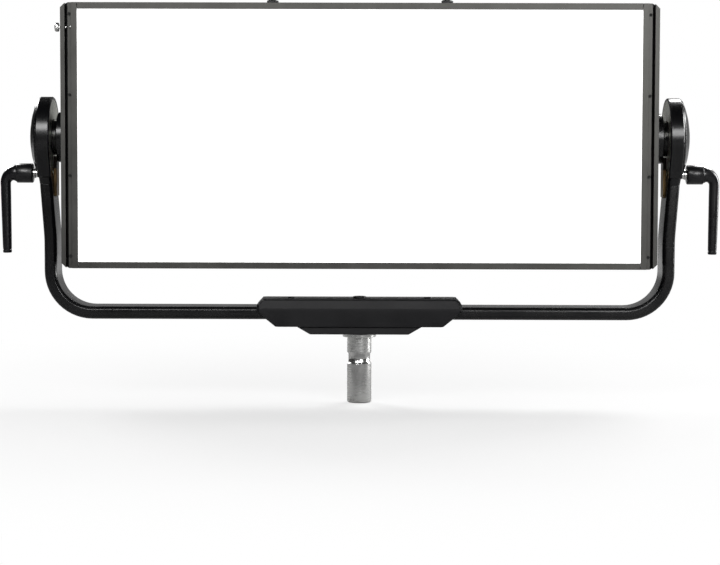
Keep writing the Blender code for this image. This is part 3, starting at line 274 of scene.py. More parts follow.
def make_finishes():
    """One material for each of the record's slots, and a few for small details."""
    # A light grey that the satin paint's edges blend towards: a painted highlight along them.
    painted_edge_highlight = (0.30, 0.30, 0.30)
    groove_shade_start, groove_shade_end = RAIL_FACE_Y + 0.0040, RAIL_FACE_Y + 0.0060
    pad_and_shade_start, pad_and_shade_end = LOCK_Z + 0.0045, LOCK_Z + 0.0065
    return {
        "powder_black": surface(
            "wrinkle_powder_coat", (0.002, 0.002, 0.003), (0.008, 0.008, 0.009), 0.60, 0.07,
            grain=0.0011, depth=0.00012, wear_and_highlight_colour=(0.06, 0.06, 0.06), wear_and_highlight_strength=0.35, specular=0.30,
        ),
        # Satin paint: its edges carry a faint painted highlight.
        "satin_black": surface(
            "satin_paint", (0.001, 0.001, 0.0015), (0.004, 0.004, 0.0045), 0.25, 0.04,
            grain=0.0014, depth=0.000010, wear_and_highlight_colour=painted_edge_highlight, wear_and_highlight_strength=0.06,
        ),
        # The extrusion blends to near black from 4 to 6 mm behind the rail's face: painted shade in the
        # slot's groove.
        "anodised_grey": painted_shade_along(
            surface(
                "anodised_extrusion", (0.072, 0.071, 0.067), (0.092, 0.091, 0.086), 0.45, 0.04, 0.9,
                grain=0.0003, depth=0.00001, stretch=(1.0, 1.0, 40.0),
                wear_and_highlight_colour=(0.22, 0.22, 0.21), wear_and_highlight_strength=0.40,
            ),
            "Y", groove_shade_start, groove_shade_end, (0.012, 0.012, 0.012),
        ),
        "plastic_black": surface(
            "moulded_plastic", (0.002, 0.002, 0.003), (0.006, 0.006, 0.007), 0.28, 0.05,
            grain=0.0005, depth=0.00002, wear_and_highlight_colour=(0.07, 0.07, 0.07), wear_and_highlight_strength=0.5,
        ),
        "rubber_black": surface(
            "soft_rubber", (0.009, 0.009, 0.009), (0.017, 0.017, 0.017), 0.74, 0.08,
            grain=0.0004, depth=0.00003, wear_and_highlight_colour=(0.045, 0.045, 0.045), wear_and_highlight_strength=0.5, specular=0.3,
        ),
        "steel": surface(
            "turned_steel", (0.74, 0.74, 0.73), (0.88, 0.88, 0.86), 0.27, 0.05, 1.0,
            grain=0.00035, depth=0.000003, stretch=(60.0, 60.0, 1.0), wear_and_highlight_colour=(0.86, 0.86, 0.84), wear_and_highlight_strength=0.6,
        ),
        "steel_black": surface(
            "blackened_steel", (0.012, 0.012, 0.013), (0.028, 0.028, 0.029), 0.38, 0.08, 0.6,
            grain=0.0005, depth=0.00001, wear_and_highlight_colour=(0.36, 0.36, 0.36), wear_and_highlight_strength=0.5, edge=0.0003,
        ),
        # The leaf goes near black from just above the lock screw upward: the dark friction pad at its
        # top, and painted shade under the flange over the rest.
        "bronze": painted_shade_along(
            surface(
                "brushed_bronze", (0.10, 0.064, 0.028), (0.26, 0.170, 0.078), 0.36, 0.10, 0.9,
                grain=0.0003, depth=0.00002, stretch=(1.0, 30.0, 1.0), wear_and_highlight_colour=(0.62, 0.46, 0.26), wear_and_highlight_strength=0.6,
            ),
            "Z", pad_and_shade_start, pad_and_shade_end, (0.012, 0.010, 0.008),
        ),
        "liner_grey": surface(
            "friction_liner", (0.74, 0.75, 0.66), (0.88, 0.89, 0.79), 0.30, 0.06, 0.9,
            grain=0.0009, depth=0.000008, patch=0.012,
        ),
        "diffuser_white": glowing("lit_diffuser", (1.0, 1.0, 1.0), 1.03),
        "reflector_white": surface(
            "reflector_sheet", (0.78, 0.78, 0.77), (0.88, 0.88, 0.87), 0.6, grain=0.0004, depth=0.00001,
        ),
        "board_green": surface(
            "solder_mask", (0.010, 0.060, 0.028), (0.020, 0.100, 0.050), 0.4,
            grain=0.0008, depth=0.00004, patch=0.004,
        ),
        "board_white": surface(
            "white_mask", (0.70, 0.70, 0.68), (0.84, 0.84, 0.82), 0.45,
            grain=0.0008, depth=0.00003, patch=0.006,
        ),
        "zinc_plate": surface(
            "zinc_sheet", (0.38, 0.39, 0.41), (0.60, 0.61, 0.62), 0.38, 0.10, 0.95,
            grain=0.004, depth=0.00001, patch=0.012, wear_and_highlight_colour=(0.75, 0.75, 0.75), wear_and_highlight_strength=0.5,
        ),
        "display_glass": surface(
            "display_glass", (0.006, 0.008, 0.012), (0.009, 0.012, 0.017), 0.10, 0.04,
            grain=0.003, depth=0.000002, coat=0.6,
        ),
        "aluminium_black": surface(
            "anodised_fins", (0.016, 0.016, 0.017), (0.034, 0.034, 0.036), 0.42, 0.07, 0.4,
            grain=0.0003, depth=0.00002, stretch=(1.0, 1.0, 50.0), wear_and_highlight_colour=(0.40, 0.40, 0.40), wear_and_highlight_strength=0.35,
        ),
        "white_print": surface(
            "white_print", (0.60, 0.60, 0.58), (0.74, 0.74, 0.72), 0.55, grain=0.0003,
        ),
        "gold_contact": surface(
            "gold_contact", (0.62, 0.42, 0.14), (0.80, 0.58, 0.24), 0.25, 0.06, 1.0,
            grain=0.0004, depth=0.000005,
        ),
        "screen_glow": glowing("screen_glow", (0.55, 0.80, 1.0), 0.9),
        "screen_amber": glowing("screen_amber", (1.0, 0.62, 0.20), 0.8),
    }


FINISHES = make_finishes()


# ------------------------------------------------------------ CAD model's look
def welder():
    """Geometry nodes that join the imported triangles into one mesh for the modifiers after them."""
    weld_distance = 0.000005
    group = bpy.data.node_groups.new("welded", "GeometryNodeTree")
    for direction in ("INPUT", "OUTPUT"):
        group.interface.new_socket("Geometry", in_out=direction, socket_type="NodeSocketGeometry")
    flow = group.nodes.new("NodeGroupInput").outputs[0]
    merge = group.nodes.new("GeometryNodeMergeByDistance")
    merge.inputs["Distance"].default_value = weld_distance
    steps = [merge]
    for attribute in ("custom_normal", "sharp_face", "sharp_edge"):
        drop = group.nodes.new("GeometryNodeRemoveAttribute")
        drop.inputs["Name"].default_value = attribute
        steps.append(drop)
    steps.append(group.nodes.new("GeometryNodeSetShadeSmooth"))
    for step in steps:
        group.links.new(flow, step.inputs["Geometry"])
        flow = step.outputs[0]
    group.links.new(flow, group.nodes.new("NodeGroupOutput").inputs[0])
    return group


WELDED = welder()


def refine(made, width, welded=True):
    """Round a piece's edges and smooth its facets without touching its own mesh."""
    if welded:
        made.modifiers.new("welded", "NODES").node_group = WELDED
        flat = made.modifiers.new("flat", "DECIMATE")
        flat.decimate_type = "DISSOLVE"
        flat.angle_limit = math.radians(0.5)
    edges = made.modifiers.new("edges", "BEVEL")
    edges.width = width
    edges.segments = 2
    edges.limit_method = "ANGLE"
    edges.angle_limit = math.radians(20.0)
    edges.harden_normals = True
    made.modifiers.new("normals", "WEIGHTED_NORMAL").keep_sharp = True


def dress_nodes():
    """Every CAD node takes its slot's finish, all but the hidden inner ones also take rounded edges, and
    the yoke's tube is satin.
    """
    for name, node in NODES.items():
        finish = node.data.materials[0].name.split(".")[0]
        slot = node.material_slots[0]
        slot.link = "OBJECT"
        slot.material = FINISHES["satin_black" if name == "yoke_tube" else finish]
        if name not in HIDDEN_NODES:
            refine(node, EDGE_WIDTHS.get(name, EDGE_WIDTH))


# ------------------------------------------------------------------- geometry
def point_on(axis, along, first, second):
    """A point from its distance along an axis and its other two coordinates in X, Y, Z order."""
    if axis == "X":
        return Vector((along, first, second))
    if axis == "Y":
        return Vector((first, along, second))
    return Vector((first, second, along))


def skin(shape, loops):
    """A closed body through loops of equal length, capped at both ends."""
    rings = [[shape.verts.new(point) for point in loop] for loop in loops]
    shape.faces.new(rings[0])
    shape.faces.new(rings[-1])
    for low, high in zip(rings, rings[1:]):
        for i in range(len(low)):
            j = (i + 1) % len(low)
            shape.faces.new((low[i], low[j], high[j], high[i]))


def hexagon(turn):
    sixth = math.radians(60.0)
    return 1.0 / math.cos(turn % sixth - sixth / 2.0)


def fluted(count, depth):
    """An outline whose radius dips this share of itself at each flute."""
    return lambda turn: 1.0 - depth * (0.5 - 0.5 * math.cos(count * turn)) ** 2


def turned(shape, axis, centre, profile, segments=48):
    """Turn a profile about an axis: rows of radius, distance along it and, if not round, an outline."""
    loops = []
    for radius, along, *outline in profile:
        loop = []
        for i in range(segments):
            turn = 2.0 * math.pi * (i + 0.5) / segments
            out = radius * (outline[0](turn) if outline else 1.0)
            first, second = centre[0] + out * math.cos(turn), centre[1] + out * math.sin(turn)
            loop.append(point_on(axis, along, first, second))
        loops.append(loop)
    skin(shape, loops)


def swept(shape, stations, across, segments=36):
    """A round bar along (point, radius) stations that lie in one plane, whose normal is across."""
    points = [Vector(point) for point, _ in stations]
    turns = [2.0 * math.pi * k / segments for k in range(segments)]
    loops = []
    for i, (_, radius) in enumerate(stations):
        ahead = points[min(i + 1, len(points) - 1)] - points[max(i - 1, 0)]
        up = ahead.normalized().cross(across)
        rim = [radius * (math.cos(turn) * across + math.sin(turn) * up) for turn in turns]
        loops.append([points[i] + out for out in rim])
    skin(shape, loops)


def block(shape, low, high):
    """A box from its lowest to its highest corner."""
    rim = ((low[0], low[1]), (high[0], low[1]), (high[0], high[1]), (low[0], high[1]))
    skin(shape, [[Vector((x, y, z)) for x, y in rim] for z in (low[2], high[2])])


def socket_screw(shape, axis, centre, seat, outwards, radius, height, sunk=0.0):
    """A cap screw with a hexagon socket; outwards is the sign of the way its head faces."""
    top = seat + outwards * height
    base = seat - outwards * sunk
    turned(
        shape,
        axis,
        centre,
        (
            (radius, base),
            (radius, top - outwards * 0.22 * height),
            (0.93 * radius, top - outwards * 0.06 * height),
            (0.84 * radius, top),
            (0.46 * radius, top, hexagon),
            (0.44 * radius, top - outwards * 0.55 * height, hexagon),
        ),
        24,
    )


def finished(name, shape, body, slot, finish=None, nodes=(), bevel=0.0, sharp=38.0):
    """Make the shape a piece that rides on a body, with its material, and stands for any CAD nodes."""
    bmesh.ops.recalc_face_normals(shape, faces=shape.faces)
    mesh = bpy.data.meshes.new(name)
    shape.to_mesh(mesh)
    shape.free()
    mesh.shade_smooth()
    mesh.set_sharp_from_angle(angle=math.radians(sharp))
    mesh.materials.append(FINISHES[finish or slot])
    made = bpy.data.objects.new(name, mesh)
    bpy.context.scene.collection.objects.link(made)
    if bevel:
        refine(made, bevel, welded=False)
    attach(made, body)
    if nodes:
        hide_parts(*nodes)
    return made


# ------------------------------------------------------- spigot and its screws
def make_spigot():
    """Turned pin with a grip groove, a drilled end and fine tool marks."""
    low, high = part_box("spigot")
    collar = (high.x - low.x) / 2.0
    radius, groove, shoulder = 0.0140, 0.0125, 0.0760
    groove_low, groove_high, slope = 0.0460, 0.0580, 0.0015
    drill, drill_depth, chamfer = 0.0040, 0.0060, 0.0022
    shape = bmesh.new()
    turned(
        shape,
        "Z",
        (0.0, 0.0),
        (
            (drill, drill_depth),
            (drill + 0.0008, 0.0),
            (radius - 0.0017, 0.0),
            (radius - 0.0004, 0.0009),
            (radius, chamfer),
            (radius, groove_low - 0.0004),
            (radius - 0.0004, groove_low),
            (groove, groove_low + slope),
            (groove, groove_high - slope),
            (radius - 0.0004, groove_high),
            (radius, groove_high + 0.0004),
            (radius, shoulder - 0.0018),
            (radius - 0.0006, shoulder - 0.0014),
            (radius - 0.0006, shoulder - 0.0002),
            (radius, shoulder),
            (collar - 0.0005, shoulder),
            (collar, shoulder + 0.0005),
            (collar, high.z - 0.0005),
            (collar - 0.0005, high.z),
        ),
        72,
    )
    finished("spigot_turned", shape, "yoke", "steel", nodes=("spigot",))


def make_casting_screws():
    """The bolt that holds the spigot and the two clamp screws, seen on top of the casting."""
    radii = {"spigot_bolt": SPIGOT_BOLT_RADIUS}
    radii |= {f"clamp_screw_{label}": CLAMP_SCREW_RADIUS for label in SIDES}
    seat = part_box("base_casting")[1].z + 0.0001
    for node, radius in radii.items():
        low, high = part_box(node)
        shape = bmesh.new()
        socket_screw(shape, "Z", ((low.x + high.x) / 2.0, 0.0), seat, 1.0, radius, high.z - seat)
        finished(f"{node}_head", shape, "yoke", "steel_black", nodes=(node,))


# ------------------------------------------------------------------ tilt joint
def make_hub(label, side):
    """Flange on the panel, its boss and its spindle."""
    low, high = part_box(f"pivot_hub_{label}")
    inner, outer = sorted((abs(low.x), abs(high.x)))
    relief, spindle = 0.0006, 0.0090
    rows = (
        (FLANGE_RADIUS - 0.0003, inner),
        (FLANGE_RADIUS, inner + 0.0003),
        (FLANGE_RADIUS, inner + 0.0024),
        (FLANGE_RADIUS - relief, inner + 0.0027),
        (FLANGE_RADIUS - relief, inner + 0.0033),
        (FLANGE_RADIUS, inner + 0.0036),
        (FLANGE_RADIUS, FLANGE_FACE - 0.0010),
        (FLANGE_RADIUS - 0.0010, FLANGE_FACE),
        (BOSS_RADIUS + 0.0008, FLANGE_FACE),
        (BOSS_RADIUS, FLANGE_FACE + 0.0008),
        (BOSS_RADIUS, BOSS_FACE - 0.0006),
        (BOSS_RADIUS - 0.0006, BOSS_FACE),
        (spindle, BOSS_FACE),
        (spindle, outer - 0.0008),
        (spindle - 0.0008, outer),
    )
    shape = bmesh.new()
    turned(shape, "X", (0.0, PIVOT_Z), [(radius, side * along) for radius, along in rows], 72)
    finished(f"hub_{label}", shape, "panel", "satin_black", nodes=(f"pivot_hub_{label}",))


def make_lock_screw(label, side):
    """Stud with its collar and a few turns of thread where it enters the lever."""
    low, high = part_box(f"lock_screw_{label}")
    inner, outer = sorted((abs(low.x), abs(high.x)))
    stud, root, collar, groove = 0.0050, 0.0046, 0.0058, 0.0054
    middle = (COLLAR_START + COLLAR_END) / 2.0
    rows = [
        (root - 0.0006, inner),
        (stud, inner + 0.0010),
        (stud, COLLAR_START - 0.0006),
        (collar, COLLAR_START),
        (collar, middle - 0.0003),
        (groove, middle),
        (collar, middle + 0.0003),
        (collar, COLLAR_END),
    ]
    pitch, crests = 0.0008, 8
    for i in range(crests):
        start = COLLAR_END + 0.0003 + i * pitch
        rows += [(root, start + 0.25 * pitch), (stud, start + 0.75 * pitch)]
    rows += [(stud, outer)]
    shape = bmesh.new()
    turned(shape, "X", (0.0, LOCK_Z), [(radius, side * along) for radius, along in rows], 40)
    finished(f"stud_{label}", shape, f"tilt_lever_{label}", "steel", nodes=(f"lock_screw_{label}",))


def lever_stations(side):
    """(point, radius) from the hub's face through the elbow to the arm's end, with its rings."""
    hub_outer, hub, neck, arm_top, arm_end = 0.3940, 0.0111, 0.0094, 0.0060, 0.0051
    elbow, bend, end_z, lean = 0.3955, 0.0115, 0.1717, 0.0014
    hub_rows = (
        (HUB_FACE, hub - 0.0010),
        (HUB_FACE + 0.0003, hub - 0.0004),
        (HUB_FACE + 0.0009, hub),
        (hub_outer - 0.0009, hub),
        (hub_outer - 0.0003, hub - 0.0004),
        (hub_outer, hub - 0.0010),
        (hub_outer + 0.0001, neck),
        (elbow - 0.0006, neck),
    )
    stations = [((side * x, 0.0, LOCK_Z), radius) for x, radius in hub_rows]
    steps = 18
    for i in range(steps + 1):
        turn = QUARTER * i / steps
        point = (side * (elbow + bend * math.sin(turn)), 0.0, LOCK_Z - bend * (1.0 - math.cos(turn)))
        stations.append((point, neck + (arm_top - neck) * math.sin(turn) ** 1.2))
    top = LOCK_Z - bend
    groove = end_z + 0.0039
    arm_rows = [(top - 0.004, arm_top - 0.00015)]
    for z in (0.2400, 0.2200, 0.2000, 0.1850):
        arm_rows.append((z, arm_top + (arm_end - arm_top) * (top - z) / (top - end_z)))
    arm_rows += [
        (groove + 0.0007, arm_end),
        (groove + 0.0005, arm_end - 0.0004),
        (groove - 0.0005, arm_end - 0.0004),
        (groove - 0.0007, arm_end),
        (end_z + 0.0010, arm_end),
        (end_z + 0.0003, arm_end - 0.0004),
        (end_z, arm_end - 0.0010),
    ]
    for z, radius in arm_rows:
        shift = lean * (top - z) / (top - end_z)
        stations.append(((side * (elbow + bend - shift), 0.0, z), radius))
    return stations


def make_lever(label, side):
    """Moulded lever, bent once from its hub to its arm."""
    node = f"lever_{label}"
    shape = bmesh.new()
    swept(shape, lever_stations(side), Vector((0.0, 1.0, 0.0)), 48)
    finished(f"clamp_lever_{label}", shape, f"tilt_lever_{label}", "plastic_black", nodes=(node,))


# ---------------------------------------------------------------------- panel
def make_rail_screws(label):
    """Small cap screws on the rail's sunk floor."""
    for number in range(1, 5):
        node = f"rail_screw_{label}_{number}"
        low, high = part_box(node)
        centre = ((low.x + high.x) / 2.0, (low.z + high.z) / 2.0)
        floor = low.y + RAIL_SCREW_HEIGHT
        shape = bmesh.new()
        socket_screw(shape, "Y", centre, floor, -1.0, RAIL_SCREW_RADIUS, RAIL_SCREW_HEIGHT)
        finished(f"{node}_head", shape, "panel", "steel_black", "rubber_black", nodes=(node,))


def make_top_screw(label):
    """Knurled thumb screw with a socket in its top."""
    node = f"top_screw_{label}"
    low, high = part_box(node)
    centre = ((low.x + high.x) / 2.0, (low.y + high.y) / 2.0)
    radius, seat = (high.x - low.x) / 2.0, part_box("housing")[1].z + 0.0002
    thread = 0.0026
    knurl = fluted(36, 0.05)
    shape = bmesh.new()
    rows = (
        (thread, low.z),
        (thread, seat),
        (radius - 0.0006, seat),
        (radius, seat + 0.0005, knurl),
        (radius, high.z - 0.0012, knurl),
        (radius - 0.0006, high.z - 0.0007),
        (radius - 0.0012, high.z),
        (0.0024, high.z, hexagon),
        (0.0023, high.z - 0.0020, hexagon),
    )
    turned(shape, "Z", centre, rows, 144)
    finished(f"thumb_screw_{label}", shape, f"captive_screw_{label}", "steel_black", nodes=(node,))


def make_latch():
    """Spring pin across the rail's slot, with a knurled pull outside and a stop pin beside its end."""
    low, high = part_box("latch_plunger")
    middle_z = (low.z + high.z) / 2.0
    knob_inner, knob, pin = -LATCH_FACE, 0.0050, 0.0015
    knurl = fluted(24, 0.06)
    rows = (
        (pin - 0.0004, high.x),
        (pin, high.x - 0.0005),
        (pin, knob_inner),
        (knob - 0.0004, knob_inner),
        (knob, knob_inner - 0.0006, knurl),
        (knob, low.x + 0.0010, knurl),
        (knob - 0.0006, low.x + 0.0003),
        (knob - 0.0012, low.x),
    )
    shape = bmesh.new()
    turned(shape, "X", ((low.y + high.y) / 2.0, middle_z), rows, 96)
    finished("latch_pull", shape, "latch", "steel", nodes=("latch_plunger",))
    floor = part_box("rail_screw_left_4")[0].y + RAIL_SCREW_HEIGHT
    stop_x, stop_radius = -0.3230, 0.0012
    stop_rows = (
        (stop_radius, floor + 0.0003),
        (stop_radius, floor - 0.0004),
        (stop_radius - 0.0003, floor - 0.0008),
        (stop_radius - 0.0008, floor - 0.0010),
    )
    stop = bmesh.new()
    turned(stop, "Y", (stop_x, middle_z), stop_rows, 20)
    finished("latch_stop", stop, "panel", None, "steel")


# ----------------------------------------------------------------------- rear
def make_knob(label):
    """Fluted knob with a dished cap and a white pointer."""
    node = f"knob_{label}"
    low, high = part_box(node)
    centre = ((low.x + high.x) / 2.0, (low.z + high.z) / 2.0)
    radius, seat, tip = (high.x - low.x) / 2.0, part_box("control_bezel")[1].y + 0.0003, high.y
    shaft, pointer_half = 0.0030, 0.0006
    grip = fluted(18, 0.07)
    rows = (
        (shaft, low.y),
        (shaft, seat),
        (radius - 0.0005, seat),
        (radius, seat + 0.0005),
        (radius, seat + 0.0016),
        (radius - 0.0012, seat + 0.0024),
        (radius - 0.0014, seat + 0.0030, grip),
        (radius - 0.0020, tip - 0.0016, grip),
        (radius - 0.0028, tip - 0.0003),
        (radius - 0.0034, tip),
        (radius - 0.0046, tip - 0.0002),
        (radius - 0.0056, tip - 0.0006),
    )
    shape = bmesh.new()
    turned(shape, "Y", centre, rows, 144)
    finished(f"dial_{label}_knob", shape, f"dial_{label}", "plastic_black", nodes=(node,))
    line = bmesh.new()
    pointer_low = (centre[0] - pointer_half, tip - 0.0004, centre[1] + 0.0035)
    pointer_high = (centre[0] + pointer_half, tip - 0.00005, centre[1] + radius - 0.0032)
    block(line, pointer_low, pointer_high)
    finished(f"dial_{label}_pointer", line, f"dial_{label}", None, "white_print")


def make_dial_ticks(label):
    """Generic level marks printed round a knob."""
    node = f"knob_{label}"
    low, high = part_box(node)
    centre_x, centre_z = (low.x + high.x) / 2.0, (low.z + high.z) / 2.0
    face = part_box("control_bezel")[1].y
    inner, marks, sweep = (high.x - low.x) / 2.0 + 0.0012, 11, math.radians(300.0)
    long_mark, short_mark, half = 0.0024, 0.0015, 0.00022
    shape = bmesh.new()
    for i in range(marks):
        turn = -sweep / 2.0 + sweep * i / (marks - 1)
        length = long_mark if i % 5 == 0 else short_mark
        out = Vector((math.sin(turn), 0.0, math.cos(turn)))
        side = Vector((math.cos(turn), 0.0, -math.sin(turn)))
        foot = Vector((centre_x, 0.0, centre_z)) + inner * out
        head = foot + length * out
        corners = [foot - half * side, foot + half * side, head + half * side, head - half * side]
        loops = [[Vector((c.x, y, c.z)) for c in corners] for y in (face - 0.0002, face + PRINT_HEIGHT)]
        skin(shape, loops)
    finished(f"dial_{label}_ticks", shape, "panel", None, "white_print")


def make_button(label):
    """Soft push button with rounded edges and a finger dish."""
    node = f"button_{label}"
    low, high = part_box(node)
    centre = ((low.x + high.x) / 2.0, (low.z + high.z) / 2.0)
    radius, tip = (high.x - low.x) / 2.0, high.y
    rows = (
        (radius, low.y),
        (radius, tip - 0.0011),
        (radius - 0.0003, tip - 0.0006),
        (radius - 0.0010, tip - 0.0002),
        (radius - 0.0020, tip),
        (0.0018, tip - 0.0002),
        (0.0010, tip - 0.0004),
    )
    shape = bmesh.new()
    turned(shape, "Y", centre, rows)
    finished(f"push_button_{label}_cap", shape, f"push_button_{label}", "rubber_black", nodes=(node,))


def make_handle(label):
    """Bent bar with a ribbed rubber sleeve and a washer under each foot."""
    node = f"rear_handle_{label}"
    low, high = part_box(node)
    x, bar, foot, inset = (low.x + high.x) / 2.0, 0.0052, low.y, 0.0058
    bar_y, bend, washer = high.y - inset, 0.0140, 0.0078
    bottom, top = low.z + inset, high.z - inset
    steps = 12
    stations = [((x, foot, bottom), bar)]
    for i in range(steps + 1):
        turn = QUARTER * i / steps
        y = bar_y - bend + bend * math.sin(turn)
        stations.append(((x, y, bottom + bend * (1.0 - math.cos(turn))), bar))
    stations += [((point[0], point[1], bottom + top - point[2]), bar) for point, _ in reversed(stations)]
    shape = bmesh.new()
    swept(shape, stations, Vector((1.0, 0.0, 0.0)))
    for z in (bottom, top):
        rows = (
            (washer, foot),
            (washer, foot + 0.0012),
            (washer - 0.0008, foot + 0.0018),
            (bar + 0.0003, foot + 0.0019),
        )
        turned(shape, "Y", (x, z), rows)
    finished(f"handle_{label}_bar", shape, "panel", "powder_black")
    ribs, start, length = 34, bottom + bend + 0.004, top - bottom - 2.0 * bend - 0.008
    end, valley, crest = 0.0050, 0.0056, 0.0060
    part = length / ribs
    rows = [(end, start)]
    for i in range(ribs):
        z = start + length * i / ribs
        rows += [(valley, z + 0.10 * part), (crest, z + 0.30 * part)]
        rows += [(crest, z + 0.80 * part), (valley, z + part)]
    rows += [(end, start + length)]
    sleeve = bmesh.new()
    turned(sleeve, "Z", (x, bar_y), rows, 40)
    finished(f"handle_{label}_sleeve", sleeve, "panel", "rubber_black", nodes=(node,))


def make_rear_screws():
    """Cap screws round the rear cover, at the bezel's corners and at two corners of each connector."""
    cover_inset, bezel_inset, connector_inset, side_screw_z = 0.0105, 0.0050, 0.0032, 0.1900
    places = []
    low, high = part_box("rear_cover")
    left, right = low.x + cover_inset, high.x - cover_inset
    for x in (left, 0.0, right):
        for z in (low.z + cover_inset, high.z - cover_inset):
            places.append((x, z, high.y, COVER_SCREW))
    places += [(x, side_screw_z, high.y, COVER_SCREW) for x in (left, right)]
    low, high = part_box("control_bezel")
    for x in (low.x + bezel_inset, high.x - bezel_inset):
        for z in (low.z + bezel_inset, high.z - bezel_inset):
            places.append((x, z, high.y, BEZEL_SCREW))
    for name in ("power_inlet", "dmx_input", "dmx_output", "ethernet_port"):
        low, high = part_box(name)
        places.append((low.x + connector_inset, high.z - connector_inset, high.y, CONNECTOR_SCREW))
        places.append((high.x - connector_inset, low.z + connector_inset, high.y, CONNECTOR_SCREW))
    shape = bmesh.new()
    for x, z, seat, screw in places:
        socket_screw(shape, "Y", (x, z), seat, 1.0, **screw)
    finished("rear_screws", shape, "panel", None, "steel_black")


def make_power_pins():
    """Three flat pins in the mains inlet."""
    low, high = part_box("power_inlet")
    x, z = (low.x + high.x) / 2.0, (low.z + high.z) / 2.0
    floor, tip = high.y - 0.0152, high.y - 0.0030
    half_width, half_height = 0.0010, 0.0020
    shape = bmesh.new()
    for dx, dz in ((-0.0055, -0.0015), (0.0, 0.0020), (0.0055, -0.0015)):
        pin_low = (x + dx - half_width, floor, z + dz - half_height)
        pin_high = (x + dx + half_width, tip, z + dz + half_height)
        block(shape, pin_low, pin_high)
    finished("power_pins", shape, "panel", None, "steel", bevel=0.0003)


def make_control_pins():
    """Five round pins in the control input and a release tab over the output."""
    low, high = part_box("dmx_input")
    x, z = (low.x + high.x) / 2.0, (low.z + high.z) / 2.0
    floor, tip = high.y - 0.0152, high.y - 0.0035
    pins, step, ring, pin = 5, math.radians(60.0), 0.0055, 0.0010
    shape = bmesh.new()
    for i in range(pins):
        turn = step * i
        centre = (x + ring * math.cos(turn), z + ring * math.sin(turn))
        turned(shape, "Y", centre, ((pin, floor), (pin, tip - 0.0008), (0.5 * pin, tip)), 16)
    finished("control_pins", shape, "panel", None, "gold_contact")
    low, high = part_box("dmx_output")
    x, top, face = (low.x + high.x) / 2.0, high.z, high.y
    half_width = 0.0042
    tab = bmesh.new()
    tab_low = (x - half_width, face - 0.0004, top - 0.0062)
    tab_high = (x + half_width, face + 0.0012, top - 0.0022)
    block(tab, tab_low, tab_high)
    finished("release_tab", tab, "panel", None, "steel", bevel=0.0004)


def make_network_contacts():
    """A row of thin contacts under the top of the network socket."""
    low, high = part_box("ethernet_port")
    x, z = (low.x + high.x) / 2.0, (low.z + high.z) / 2.0
    back, contacts, pitch = high.y - 0.0040, 8, 0.00102
    half_width, length = 0.00025, 0.0090
    shape = bmesh.new()
    for i in range(contacts):
        centre = x + (i - (contacts - 1) / 2.0) * pitch
        contact_low = (centre - half_width, back - length, z + 0.0044)
        contact_high = (centre + half_width, back, z + 0.0050)
        block(shape, contact_low, contact_high)
    finished("network_contacts", shape, "panel", None, "gold_contact")


SEGMENTS_OF_DIGIT = {"0": "abcdef", "1": "bc", "5": "acdfg", "6": "acdefg"}


def add_digit(shape, digit, x, z, height, face):
    """A seven-segment digit, seen from behind the light, whose left there is towards +X."""
    width, half, line = 0.55 * height, 0.5 * height, 0.10 * height
    bars = {
        "a": (0.0, half, width, line),
        "d": (0.0, -half, width, line),
        "g": (0.0, 0.0, width, line),
        "b": (width / 2.0, half / 2.0, line, half),
        "c": (width / 2.0, -half / 2.0, line, half),
        "f": (-width / 2.0, half / 2.0, line, half),
        "e": (-width / 2.0, -half / 2.0, line, half),
    }
    for segment in SEGMENTS_OF_DIGIT[digit]:
        dx, dz, across, tall = bars[segment]
        low = (x - dx - across / 2.0, face, z + dz - tall / 2.0)
        high = (x - dx + across / 2.0, face + PRINT_HEIGHT, z + dz + tall / 2.0)
        block(shape, low, high)


def make_screen():
    """Generic read-outs: a level, a colour temperature, a bar for each and a row of soft-key tiles."""
    low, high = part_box("display")
    centre_x, face = (low.x + high.x) / 2.0, high.y
    digit_z, digit_pitch, digit_height = high.z - 0.0130, 0.0078, 0.0095
    cool, warm = bmesh.new(), bmesh.new()
    for shape, digits, first_x in ((cool, "100", centre_x + 0.0290), (warm, "5600", centre_x - 0.0040)):
        for i, digit in enumerate(digits):
            add_digit(shape, digit, first_x - digit_pitch * i, digit_z, digit_height, face)

    def bar(shape, start, end, middle_z, half):
        """A lit bar between two distances from the display's middle."""
        bar_low = (centre_x + start, face, middle_z - half)
        bar_high = (centre_x + end, face + PRINT_HEIGHT, middle_z + half)
        block(shape, bar_low, bar_high)

    bar_z, bar_half = high.z - 0.0235, 0.0012
    bar(cool, 0.0020, 0.0320, bar_z, bar_half)
    bar(warm, -0.0220, -0.0020, bar_z, bar_half)
    tiles, tile_pitch, first_tile, tile_half = 4, 0.0170, 0.0255, 0.0065
    tile_z, edge_offset, edge_half = low.z + 0.0085, 0.0026, 0.0004
    for i in range(tiles):
        x = first_tile - tile_pitch * i
        for edge_z in (tile_z - edge_offset, tile_z + edge_offset):
            bar(cool, x - tile_half, x + tile_half, edge_z, edge_half)
    finished("screen_cool", cool, "panel", None, "screen_glow")
    finished("screen_warm", warm, "panel", None, "screen_amber")


